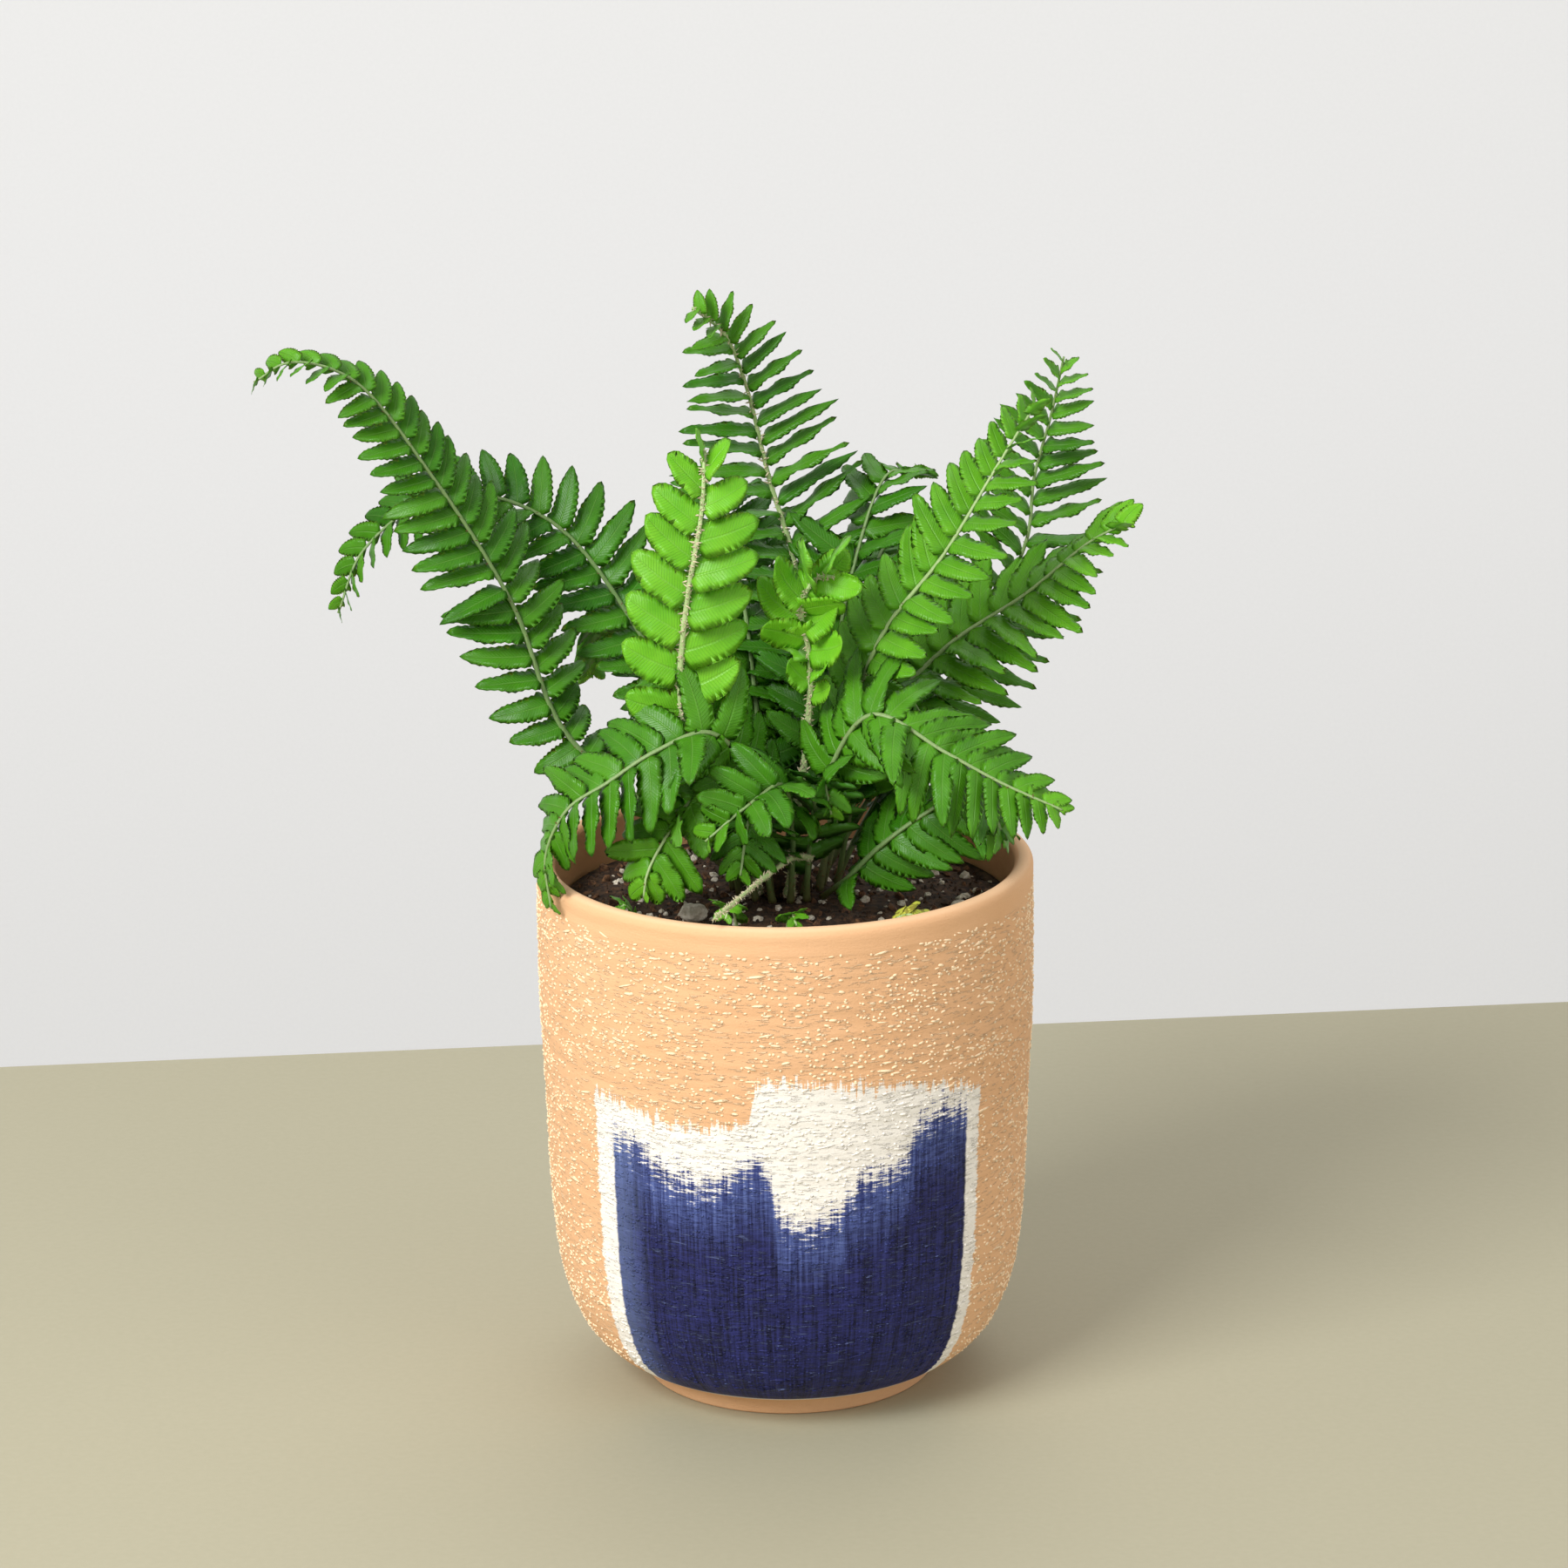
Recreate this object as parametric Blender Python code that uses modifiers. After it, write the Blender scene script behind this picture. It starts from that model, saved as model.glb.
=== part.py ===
"""Potted sword fern: a turned ceramic pot, potting soil, a crown and separate fronds growing from it.

Lengths below are millimetres. The origin is the centre of the pot's foot, +Z is up, and -Y is the painted
front.
Every frond is one closed body: a three-sided tapering rachis with a wedge-shaped pinna on alternate sides.
A pinna is lifted, shortened or left out wherever it would touch something that is already there.
"""

import math
import random

import bmesh
import bpy
from mathutils import Vector
from mathutils.bvhtree import BVHTree

MM = 0.001
GAP = 0.3
TURN_STEPS = 48

# Pot
POT_RADIUS = 65.0
POT_HEIGHT = 142.0
FOOT_RADIUS = 39.0
FOOT_HEIGHT = 4.5
WALL = 5.0
FLOOR_TOP = 11.0
LIP_RADIUS = 2.4
CORNER_HEIGHT = 30.0
CORNER_REACH = 26.0
WALL_TAPER = 2.4
TAPER_HEIGHT = 100.0
INSIDE_HEIGHTS = (FLOOR_TOP, FLOOR_TOP + 3.0, FLOOR_TOP + 10.0, FLOOR_TOP + 22.0, 60.0, 96.0)

# Potting soil: slightly heaped in the middle
SOIL_EDGE = 128.5
SOIL_TOP = 131.5
SOIL_EASE = 0.1

# Crown: the woody clump that the stipes rise from
CROWN_RADIUS = 7.5
CROWN_HEIGHT = 9.0
INNER_RING = 9.6
OUTER_RING = 13.6
STIPE_START = 1.6

# Fronds
STIPE_RADIUS = 0.95
TIP_RADIUS = 0.32
STIPE_STEP = 9.0
PINNA_FORWARD = 10.0
PINNA_TIP_SWEEP = 0.16
PINNA_WIDTH_TO_PITCH = 0.8
PINNA_WIDEST = 0.42
PINNA_THICKNESS = 0.55
CLEARANCE = 0.38
LIFT_TRIES = (0, 14, -14, 28, -28, 42, -42)
LENGTH_TRIES = (1.0, 0.78, 0.55)

UP = (0.0, 0.0, 1.0)
FRONT = (0.0, -1.0, 0.25)
FRONT_UP = (0.0, -0.8, 0.6)

# ring is the distance of the stipe's root from the axis and root its direction, in degrees from +X.
# path holds the points that the rachis passes through. blade is the share of the path below the first pinna.
# taper is the share of the blade at which its pinnae begin to shorten. face holds the way the upper side
# looks at the base and at the tip. lift raises (+) or drops (-) the pinnae out of the blade's plane.
FRONDS = [
    dict(name="frond_left_arching", ring=INNER_RING, root=178, pairs=26, pinna=19, blade=0.26, taper=0.3,
         face=((0.5, -1.0, 0.3), (-0.2, -0.5, 0.9)), lift=-8,
         path=[(-32, 2, 152), (-57, 6, 174), (-70, 8, 208), (-89, 2, 243), (-109, -5, 271),
               (-124, -9, 276), (-133, -9, 271)]),
    dict(name="frond_left_behind", ring=INNER_RING, root=146, pairs=24, pinna=19, blade=0.2, taper=0.35,
         face=((0.3, -1.0, 0.4), (-0.3, -0.5, 0.8)), lift=6,
         path=[(-20, 16, 159), (-37, 26, 194), (-61, 30, 225), (-88, 27, 233), (-109, 20, 220),
               (-116, 16, 204)]),
    dict(name="frond_front_bright", ring=INNER_RING, root=-138, pairs=9, pinna=17, blade=0.32, taper=0.65,
         face=(FRONT, FRONT), lift=4,
         path=[(-21, -22, 168), (-26, -27, 192), (-24, -30, 218), (-20, -30, 241), (-19, -26, 256)]),
    dict(name="frond_tall_centre", ring=INNER_RING, root=82, pairs=23, pinna=26, blade=0.2, taper=0.42,
         face=(FRONT, FRONT_UP), lift=12,
         path=[(5, 20, 172), (4, 27, 210), (-3, 28, 236), (-9, 22, 263), (-14, 15, 277), (-22, 6, 286)]),
    dict(name="frond_tall_right", ring=INNER_RING, root=24, pairs=22, pinna=21, blade=0.22, taper=0.55,
         face=(FRONT, FRONT), lift=8,
         path=[(32, 14, 168), (53, 20, 198), (64, 22, 220), (66, 22, 237), (70, 18, 254), (73, 12, 271)]),
    dict(name="frond_right_bright_edge", ring=INNER_RING, root=-22, pairs=19, pinna=17, blade=0.2, taper=0.6,
         face=((-0.8, -0.7, 0.4), (-0.6, -0.8, 0.4)), lift=10,
         path=[(17, -10, 180), (26, -16, 206), (41, -20, 227), (55, -18, 250), (65, -10, 264)]),
    dict(name="frond_right_low_arch", ring=INNER_RING, root=4, pairs=18, pinna=23, blade=0.2, taper=0.6,
         face=((-0.6, -0.5, 0.8), (-0.4, -0.2, 0.9)), lift=-10,
         path=[(23, 2, 174), (42, 4, 196), (63, 2, 211), (79, -4, 226), (88, -8, 232)]),
    dict(name="frond_front_left_droop", ring=INNER_RING, root=-112, pairs=18, pinna=19, blade=0.2, taper=0.45,
         face=((0.2, -0.7, 0.8), (-0.7, -0.6, 0.4)), lift=-8,
         path=[(-7, -20, 166), (-19, -31, 184), (-33, -35, 180), (-45, -35, 172), (-55, -34, 165),
               (-61, -32, 152), (-60, -32, 138)]),
    dict(name="frond_front_right_droop", ring=INNER_RING, root=-60, pairs=17, pinna=22, blade=0.3, taper=0.5,
         face=((0.0, -0.7, 0.8), (0.1, -0.6, 0.8)), lift=-10,
         path=[(12, -20, 171), (23, -30, 188), (41, -38, 180), (55, -42, 173), (70, -46, 167)]),
    dict(name="frond_right_comb", ring=OUTER_RING, root=-44, pairs=12, pinna=18, blade=0.2, taper=0.7,
         face=((0.2, -0.6, 0.8), (0.4, -0.4, 0.8)), lift=-22,
         path=[(17, -22, 143), (24, -25, 151), (36, -28, 161), (46, -31, 167), (53, -35, 163),
               (56, -38, 156)]),
    dict(name="frond_left_low", ring=OUTER_RING, root=-124, pairs=9, pinna=16, blade=0.3, taper=0.6,
         face=((0.0, -0.6, 0.8), (-0.3, -0.9, 0.5)), lift=-6,
         path=[(-14, -22, 160), (-22, -30, 167), (-30, -36, 158), (-35, -39, 149), (-36, -40, 143)]),
    dict(name="frond_centre_folded", ring=OUTER_RING, root=-84, pairs=9, pinna=15, blade=0.3, taper=0.5,
         face=((0.4, -0.2, 1.0), (0.3, -0.4, 0.9)), lift=24,
         path=[(2, -24, 160), (-1, -34, 171), (-9, -42, 168), (-20, -47, 160)]),
    dict(name="frond_young_curled", ring=INNER_RING, root=-84, pairs=8, pinna=9, blade=0.55, taper=0.7,
         face=((-0.5, -1.0, 0.0), (0.3, -0.9, 0.3)), lift=14,
         path=[(6, -13, 177), (7, -17, 199), (5, -20, 213), (9, -23, 222), (17, -24, 222)]),
]

# Plainer fronds: they rise from the crown towards a heading, in degrees from +X, and arch over.
# reach is the distance of the tip from the axis, rise the height of the arch above the soil and drop how far
# the tip hangs below the arch.
ARCHING_FRONDS = [
    dict(name="frond_back_right_upright", ring=INNER_RING, root=54, heading=50, reach=58, rise=104, drop=2,
         pairs=16, pinna=22, lift=8),
    dict(name="frond_back_right_arching", ring=OUTER_RING, root=66, heading=64, reach=92, rise=80, drop=24,
         pairs=18, pinna=22, lift=-6),
    dict(name="frond_back_arching", ring=OUTER_RING, root=86, heading=87, reach=102, rise=68, drop=40,
         pairs=19, pinna=22, lift=-8),
    dict(name="frond_back_left_upright", ring=INNER_RING, root=114, heading=112, reach=58, rise=98, drop=4,
         pairs=15, pinna=21, lift=8),
    dict(name="frond_back_left_arching", ring=OUTER_RING, root=130, heading=126, reach=90, rise=70, drop=30,
         pairs=18, pinna=21, lift=-6),
    dict(name="frond_left_low_behind", ring=OUTER_RING, root=158, heading=154, reach=56, rise=42, drop=18,
         pairs=11, pinna=15, lift=-10),
    dict(name="frond_right_low", ring=OUTER_RING, root=12, heading=10, reach=58, rise=42, drop=14,
         pairs=11, pinna=16, lift=-12),
    dict(name="frond_right_inner", ring=OUTER_RING, root=-8, heading=-16, reach=40, rise=56, drop=10,
         pairs=10, pinna=14, lift=10),
    dict(name="frond_left_inner", ring=OUTER_RING, root=-170, heading=-170, reach=40, rise=60, drop=10,
         pairs=10, pinna=15, lift=8),
    dict(name="frond_front_inner", ring=OUTER_RING, root=-66, heading=-68, reach=32, rise=38, drop=8,
         pairs=8, pinna=14, lift=12),
    dict(name="frond_front_left_inner", ring=OUTER_RING, root=-150, heading=-150, reach=34, rise=40, drop=8,
         pairs=8, pinna=14, lift=12),
    dict(name="frond_back_inner", ring=OUTER_RING, root=101, heading=101, reach=34, rise=58, drop=4,
         pairs=10, pinna=17, lift=8),
    dict(name="frond_right_back_inner", ring=OUTER_RING, root=40, heading=40, reach=38, rise=62, drop=6,
         pairs=11, pinna=17, lift=8),
    dict(name="frond_front_low", ring=OUTER_RING, root=-104, heading=-106, reach=41, rise=29, drop=12,
         pairs=9, pinna=15, lift=-8),
]
ARCH_SHAPE = ((0.16, 0.4), (0.4, 0.78), (0.7, 1.0))
ARCH_BLADE = 0.18
ARCH_TAPER = 0.55

# Young growth at the soil: small fronds with few pinnae, each rooted on its own
SPROUTS = [
    dict(name="sprout_front", at=(-12, -44), heading=-110, reach=9, rise=13, pairs=4, pinna=6),
    dict(name="sprout_front_right", at=(0, -46), heading=-70, reach=8, rise=11, pairs=4, pinna=5),
    dict(name="sprout_left", at=(-38, -30), heading=-150, reach=6, rise=8, pairs=4, pinna=5),
    dict(name="yellowed_frond", at=(24, -40), heading=-20, reach=13, rise=8, pairs=5, pinna=7),
]
SPROUT_RADIUS = 0.6
SPROUT_EASE = 0.9
SPROUT_SHAPE = ((0.0, 0.0), (0.25, 0.7), (0.65, 1.0), (1.0, 0.8))

# Stones lying on the soil: name, position, half sizes
STONES = [
    ("stone_large", (-24, -23), (4.2, 3.0, 2.4)),
    ("stone_left", (-42, -16), (2.4, 1.9, 1.5)),
    ("stone_right", (45, -14), (2.6, 2.0, 1.6)),
    ("stone_front_right", (38, -36), (2.2, 2.4, 1.5)),
    ("stone_back", (20, 44), (2.8, 2.2, 1.7)),
]
STONE_ROUGHNESS = 0.16
STONE_EASE = 0.25

# Runner: a thin creeping stem from the crown out over the front of the rim
RUNNER_RADIUS = 0.85
RUNNER_PATH = [(7, -17, 146), (2, -28, 149.5), (-5, -41, 148.5), (-11, -52, 147), (-16, -60, 145.2),
               (-18, -63, 144.6)]

COLOURS = {
    "terracotta": ((0.81, 0.47, 0.26), 0.75),
    "potting_soil": ((0.04, 0.02, 0.012), 0.95),
    "fern_crown": ((0.1, 0.06, 0.02), 0.9),
    "pale_stone": ((0.7, 0.68, 0.6), 0.8),
    "mature_leaf": ((0.02, 0.16, 0.02), 0.4),
    "young_leaf": ((0.1, 0.42, 0.03), 0.45),
    "yellow_leaf": ((0.6, 0.55, 0.08), 0.6),
    "runner_stem": ((0.5, 0.55, 0.15), 0.6),
}
YOUNG_FRONDS = ("frond_front_bright", "frond_young_curled")


def clear_scene():
    for obj in list(bpy.data.objects):
        bpy.data.objects.remove(obj, do_unlink=True)


def material(name):
    """One Principled material for each part, coloured as its kind."""
    colour, roughness = COLOURS[name]
    made = bpy.data.materials.new(name)
    made.use_nodes = True
    shader = made.node_tree.nodes["Principled BSDF"]
    shader.inputs["Base Color"].default_value = (*colour, 1.0)
    shader.inputs["Roughness"].default_value = roughness
    made.diffuse_color = (*colour, 1.0)
    return made


def add_object(name, mesh, kind, smooth):
    """Puts a mesh in the plant's collection under its own name and material."""
    obj = bpy.data.objects.new(name, mesh)
    COLLECTION.objects.link(obj)
    obj.data.materials.clear()
    obj.data.materials.append(material(kind))
    for polygon in obj.data.polygons:
        polygon.use_smooth = smooth
    return obj


def mesh_of(name, points, faces):
    """A mesh in metres from points in millimetres, with every face looking outwards."""
    mesh = bpy.data.meshes.new(name)
    mesh.from_pydata([Vector(point) * MM for point in points], [], faces)
    body = bmesh.new()
    body.from_mesh(mesh)
    bmesh.ops.recalc_face_normals(body, faces=body.faces)
    body.to_mesh(mesh)
    body.free()
    return mesh


def tree_of(obj):
    """The finished surface of an object, in millimetres, for the clearance tests."""
    graph = bpy.context.evaluated_depsgraph_get()
    evaluated = obj.evaluated_get(graph)
    mesh = evaluated.to_mesh()
    points = [obj.matrix_world @ vertex.co / MM for vertex in mesh.vertices]
    faces = [tuple(polygon.vertices) for polygon in mesh.polygons]
    evaluated.to_mesh_clear()
    return BVHTree.FromPolygons(points, faces)


def turned(name, profile, kind, steps):
    """A solid of revolution: the profile runs from the axis over the top and down the outside."""
    edges = [(index, index + 1) for index in range(len(profile) - 1)]
    mesh = bpy.data.meshes.new(name)
    mesh.from_pydata([(r * MM, 0.0, z * MM) for r, z in profile], edges, [])
    obj = add_object(name, mesh, kind, True)
    screw = obj.modifiers.new("turn", "SCREW")
    screw.steps = steps
    screw.render_steps = steps
    screw.use_merge_vertices = True
    screw.merge_threshold = 0.00001
    screw.use_smooth_shade = True
    bpy.context.view_layer.update()
    return obj


def depth_in_corner(z):
    """How far a height lies down the inside's rounded bottom corner, from 0 to 1."""
    return max(0.0, FLOOR_TOP + CORNER_HEIGHT - z) / CORNER_HEIGHT


def inner_radius(z):
    """Radius of the pot's inside at a height."""
    drop = 1.0 - math.sqrt(max(0.0, 1.0 - depth_in_corner(z) ** 2))
    taper = WALL_TAPER * max(0.0, 1.0 - z / TAPER_HEIGHT)
    return POT_RADIUS - WALL - taper - drop * CORNER_REACH


def build_pot():
    lip_centre = POT_HEIGHT - LIP_RADIUS
    inside = [(0.0, FLOOR_TOP)]
    for z in INSIDE_HEIGHTS:
        inside.append((inner_radius(z), z))
    inside.append((inner_radius(lip_centre), lip_centre))
    lip = [
        (POT_RADIUS - WALL + 0.75, POT_HEIGHT - 0.7),
        (POT_RADIUS - LIP_RADIUS - 0.1, POT_HEIGHT),
        (POT_RADIUS - 0.75, POT_HEIGHT - 0.75),
        (POT_RADIUS, lip_centre),
    ]
    outside = [
        (POT_RADIUS, 104.0),
        (64.0, 80.0),
        (63.0, 52.0),
        (61.6, 36.0),
        (59.2, 25.0),
        (54.6, 15.0),
        (48.0, 8.4),
        (40.5, FOOT_HEIGHT + 0.4),
        (FOOT_RADIUS, FOOT_HEIGHT - 0.6),
        (FOOT_RADIUS, 0.5),
        (FOOT_RADIUS - 0.5, 0.0),
        (0.0, 0.0),
    ]
    return turned("pot", inside + lip + outside, "terracotta", TURN_STEPS)


def build_soil():
    profile = [(0.0, SOIL_TOP), (14.0, SOIL_TOP - 0.2), (36.0, SOIL_TOP - 1.2)]
    profile.append((inner_radius(SOIL_EDGE) - GAP - 1.5, SOIL_EDGE + 0.2))
    for z in (SOIL_EDGE - 1.0, *reversed(INSIDE_HEIGHTS)):
        # the flatter the wall lies, the wider the sideways gap that keeps the soil off it
        profile.append((inner_radius(z) - GAP - SOIL_EASE - depth_in_corner(z), z))
    radius, bottom = profile[-1]
    profile[-1] = (radius, bottom + GAP)
    profile.append((0.0, bottom + GAP))
    return turned("potting_soil", profile, "potting_soil", TURN_STEPS)


def soil_height(x, y):
    """Height of the soil's surface at a point."""
    distance = math.hypot(x, y)
    if distance < 14.0:
        return SOIL_TOP - 0.2 * distance / 14.0
    if distance < 36.0:
        return SOIL_TOP - 0.2 - 1.0 * (distance - 14.0) / 22.0
    return SOIL_TOP - 1.2 - 1.6 * (distance - 36.0) / 22.2


def build_crown():
    foot = SOIL_TOP + GAP
    profile = [
        (0.0, foot + CROWN_HEIGHT),
        (CROWN_RADIUS * 0.55, foot + CROWN_HEIGHT * 0.86),
        (CROWN_RADIUS * 0.9, foot + CROWN_HEIGHT * 0.5),
        (CROWN_RADIUS, foot + CROWN_HEIGHT * 0.15),
        (CROWN_RADIUS * 0.93, foot),
        (0.0, foot),
    ]
    return turned("crown", profile, "fern_crown", 20)


def build_stone(name, at, half_sizes, seed):
    """An angular pebble: a ball of flats pushed in and out, sitting just above the soil."""
    draw = random.Random(seed)
    body = bmesh.new()
    bmesh.ops.create_icosphere(body, subdivisions=1, radius=1.0)
    for vertex in body.verts:
        push = 1.0 + draw.uniform(-STONE_ROUGHNESS, STONE_ROUGHNESS)
        vertex.co = [vertex.co[axis] * half_sizes[axis] * push for axis in range(3)]
    lowest = min(vertex.co.z for vertex in body.verts)
    rest = Vector((at[0], at[1], soil_height(*at) + GAP + STONE_EASE - lowest))
    for vertex in body.verts:
        vertex.co = (vertex.co + rest) * MM
    mesh = bpy.data.meshes.new(name)
    body.to_mesh(mesh)
    body.free()
    return add_object(name, mesh, "pale_stone", False)


def build_runner():
    curve = bpy.data.curves.new("runner", "CURVE")
    curve.dimensions = "3D"
    curve.bevel_depth = RUNNER_RADIUS * MM
    curve.bevel_resolution = 1
    curve.resolution_u = 4
    curve.use_fill_caps = True
    spline = curve.splines.new("NURBS")
    spline.points.add(len(RUNNER_PATH) - 1)
    for index, position in enumerate(RUNNER_PATH):
        spline.points[index].co = (*[value * MM for value in position], 1.0)
        spline.points[index].radius = 1.0 - 0.5 * index / (len(RUNNER_PATH) - 1)
    spline.use_endpoint_u = True
    spline.order_u = 3
    obj = bpy.data.objects.new("runner", curve)
    COLLECTION.objects.link(obj)
    curve.materials.append(material("runner_stem"))
    bpy.context.view_layer.update()
    return obj


def through_points(points, samples):
    """A smooth curve through the points, as evenly spaced samples."""
    knots = [Vector(point) for point in points]
    knots = [knots[0] * 2 - knots[1]] + knots + [knots[-1] * 2 - knots[-2]]
    fine = []
    for index in range(1, len(knots) - 2):
        p0, p1, p2, p3 = knots[index - 1:index + 3]
        t1 = (p1 - p0).length ** 0.5
        t2 = t1 + (p2 - p1).length ** 0.5
        t3 = t2 + (p3 - p2).length ** 0.5
        for part in range(24):
            t = t1 + (t2 - t1) * part / 24
            a1 = p0 * ((t1 - t) / t1) + p1 * (t / t1)
            a2 = p1 * ((t2 - t) / (t2 - t1)) + p2 * ((t - t1) / (t2 - t1))
            a3 = p2 * ((t3 - t) / (t3 - t2)) + p3 * ((t - t2) / (t3 - t2))
            b1 = a1 * ((t2 - t) / t2) + a2 * (t / t2)
            b2 = a2 * ((t3 - t) / (t3 - t1)) + a3 * ((t - t1) / (t3 - t1))
            fine.append(b1 * ((t2 - t) / (t2 - t1)) + b2 * ((t - t1) / (t2 - t1)))
    fine.append(knots[-2].copy())
    lengths = [0.0]
    for index in range(1, len(fine)):
        lengths.append(lengths[-1] + (fine[index] - fine[index - 1]).length)
    even = []
    place = 0
    for share in samples:
        target = share * lengths[-1]
        while place < len(fine) - 2 and lengths[place + 1] < target:
            place += 1
        span = lengths[place + 1] - lengths[place]
        even.append(fine[place].lerp(fine[place + 1], (target - lengths[place]) / span))
    return even, lengths[-1]


def arch_path(ring, heading, reach, rise, drop):
    """Points of a frond that climbs from its ring and arches over towards a heading."""
    towards = Vector((math.cos(math.radians(heading)), math.sin(math.radians(heading)), 0.0))
    span = reach - ring
    points = [towards * (ring + span * out) + Vector((0, 0, SOIL_TOP + rise * up)) for out, up in ARCH_SHAPE]
    points.append(towards * reach + Vector((0, 0, SOIL_TOP + rise - drop)))
    return points


class Frond:
    """Rings along a rachis, with the pinnae that grow from it."""

    def __init__(self, name, path, pairs, pinna, blade, taper, face, lift, radius):
        self.name = name
        self.pinna = pinna
        self.taper = taper
        self.lift = lift
        self.count = pairs * 2
        _, length = through_points(path, [0.0, 1.0])
        stipe_steps = max(2, round(length * blade / STIPE_STEP))
        shares = [blade * index / stipe_steps for index in range(stipe_steps)]
        # pinnae stand closer together towards the tip
        for index in range(self.count + 1):
            along = index / self.count
            shares.append(blade + (1.0 - blade) * along * (1.22 - 0.22 * along))
        self.first = stipe_steps
        self.centres, _ = through_points(path, shares)
        self.frames = []
        for index, centre in enumerate(self.centres):
            before = self.centres[max(0, index - 1)]
            after = self.centres[min(len(self.centres) - 1, index + 1)]
            along = (after - before).normalized()
            share = index / (len(self.centres) - 1)
            hint = Vector(face[0]).normalized().lerp(Vector(face[1]).normalized(), share)
            upper = (hint - along * hint.dot(along)).normalized()
            across = along.cross(upper)
            thick = radius + (TIP_RADIUS - radius) * share
            self.frames.append((along, upper, across, thick))
        self.points = []
        for centre, (along, upper, across, thick) in zip(self.centres, self.frames):
            self.points.append(centre + (upper * 0.5 - across * 0.87) * thick)
            self.points.append(centre + (upper * 0.5 + across * 0.87) * thick)
            self.points.append(centre - upper * thick)
        self.grown = {}
        self.chosen = {}

    def rachis_faces(self, skip):
        """Faces of the bare rachis, leaving out the side faces that a pinna covers."""
        last = 3 * (len(self.centres) - 1)
        faces = [(0, 1, 2)]
        for index in range(len(self.centres) - 1):
            left, right, low = 3 * index, 3 * index + 1, 3 * index + 2
            faces.append((left, left + 3, right + 3, right))
            if (index, -1) not in skip:
                faces.append((low, low + 3, left + 3, left))
            if (index, 1) not in skip:
                faces.append((right, right + 3, low + 3, low))
        faces.append((last + 1, last, last + 2))
        return faces

    def rachis_tree(self):
        return BVHTree.FromPolygons(self.points, self.rachis_faces({}))

    def pinna_points(self, index, side, lift, shorten, extra):
        """Proximal edge, distal edge, ridge and tip of one pinna. extra fattens it for a clearance test."""
        along, upper, across, _ = self.frames[index]
        share = (index - self.first) / self.count
        grow = min(1.0, 0.62 + 1.9 * share)
        shrink = 1.0
        if share > self.taper:
            shrink = 1.0 - 0.86 * ((share - self.taper) / (1.0 - self.taper)) ** 1.2
        length = self.pinna * grow * shrink * shorten
        root = (self.centres[index] + self.centres[index + 1]) / 2
        pitch = (self.centres[index + 1] - self.centres[index]).length * 2
        outward = across * side
        angle = math.radians(lift)
        outward = outward * math.cos(angle) + upper * math.sin(angle)
        forward = math.radians(PINNA_FORWARD + 24.0 * share)
        direction = outward * math.cos(forward) + along * math.sin(forward)
        normal = (upper * math.cos(angle) - across * side * math.sin(angle)).normalized()
        broad = direction.cross(normal).normalized()
        if broad.dot(along) < 0:
            broad = -broad
        half = pitch * PINNA_WIDTH_TO_PITCH / 2
        middle = root + direction * length * PINNA_WIDEST
        near = middle - broad * (half + extra)
        far = middle + broad * (half + extra)
        tip = root + direction * (length + extra) + broad * length * PINNA_TIP_SWEEP
        ridge = middle + normal * (PINNA_THICKNESS + extra)
        return root, near, far, ridge, tip, normal

    def clear(self, index, side, lift, shorten, trees):
        """Whether a pinna would stand free of everything that is already there."""
        _, near, far, ridge, tip, normal = self.pinna_points(index, side, lift, shorten, CLEARANCE)
        raise_root, raise_leaf = normal * (CLEARANCE + STIPE_RADIUS), normal * CLEARANCE
        base, end = self.centres[index], self.centres[index + 1]
        for others, share in ((trees, 0.0), (list(self.grown.values()), 0.45)):
            first, last = base.lerp(near, share), end.lerp(far, share)
            test = [first - raise_root, last - raise_root]
            test += [far - raise_leaf, tip - raise_leaf, near - raise_leaf]
            test += [first + raise_root, last + raise_root]
            test += [far + raise_leaf, tip + raise_leaf, near + raise_leaf, ridge]
            faces = [(0, 1, 2, 4), (4, 2, 3)]
            faces += [(corner, (corner + 1) % 5, (corner + 1) % 5 + 5, corner + 5) for corner in range(5)]
            faces += [(corner + 5, (corner + 1) % 5 + 5, 10) for corner in range(5)]
            shape = BVHTree.FromPolygons(test, faces)
            if any(shape.overlap(tree) for tree in others):
                return False
        return True

    def grow(self, trees):
        for index in range(self.first, self.first + self.count):
            side = -1 if (index - self.first) % 2 else 1
            for shorten in LENGTH_TRIES:
                lifts = [self.lift + more for more in LIFT_TRIES]
                chosen = next((lift for lift in lifts if self.clear(index, side, lift, shorten, trees)), None)
                if chosen is None:
                    continue
                points = self.pinna_points(index, side, chosen, shorten, 0.0)
                self.chosen[(index, side)] = points
                _, near, far, ridge, tip, _ = points
                outline = [near, far, ridge, tip]
                self.grown[(index, side)] = BVHTree.FromPolygons(outline, [(0, 1, 3), (0, 3, 2), (2, 3, 1)])
                break

    def build(self, kind):
        """The whole frond as one closed body."""
        points = list(self.points)
        faces = self.rachis_faces(self.chosen)
        for (index, side), (_, near, far, ridge, tip, _) in self.chosen.items():
            top = 3 * index + (1 if side > 0 else 0)
            low = 3 * index + 2
            a, b, m, t = range(len(points), len(points) + 4)
            points += [near, far, ridge, tip]
            made = [
                (top, m, a), (top, top + 3, m), (top + 3, b, m), (a, m, t), (m, b, t),
                (low, top, a), (top + 3, low + 3, b), (low, a, b), (low, b, low + 3), (a, t, b),
            ]
            if side > 0:
                made = [face[::-1] for face in made]
            faces += made
        mesh = mesh_of(self.name, points, faces)
        return add_object(self.name, mesh, kind, False)


def ring_point(ring, root):
    angle = math.radians(root)
    return (ring * math.cos(angle), ring * math.sin(angle), SOIL_TOP + STIPE_START)


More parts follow.
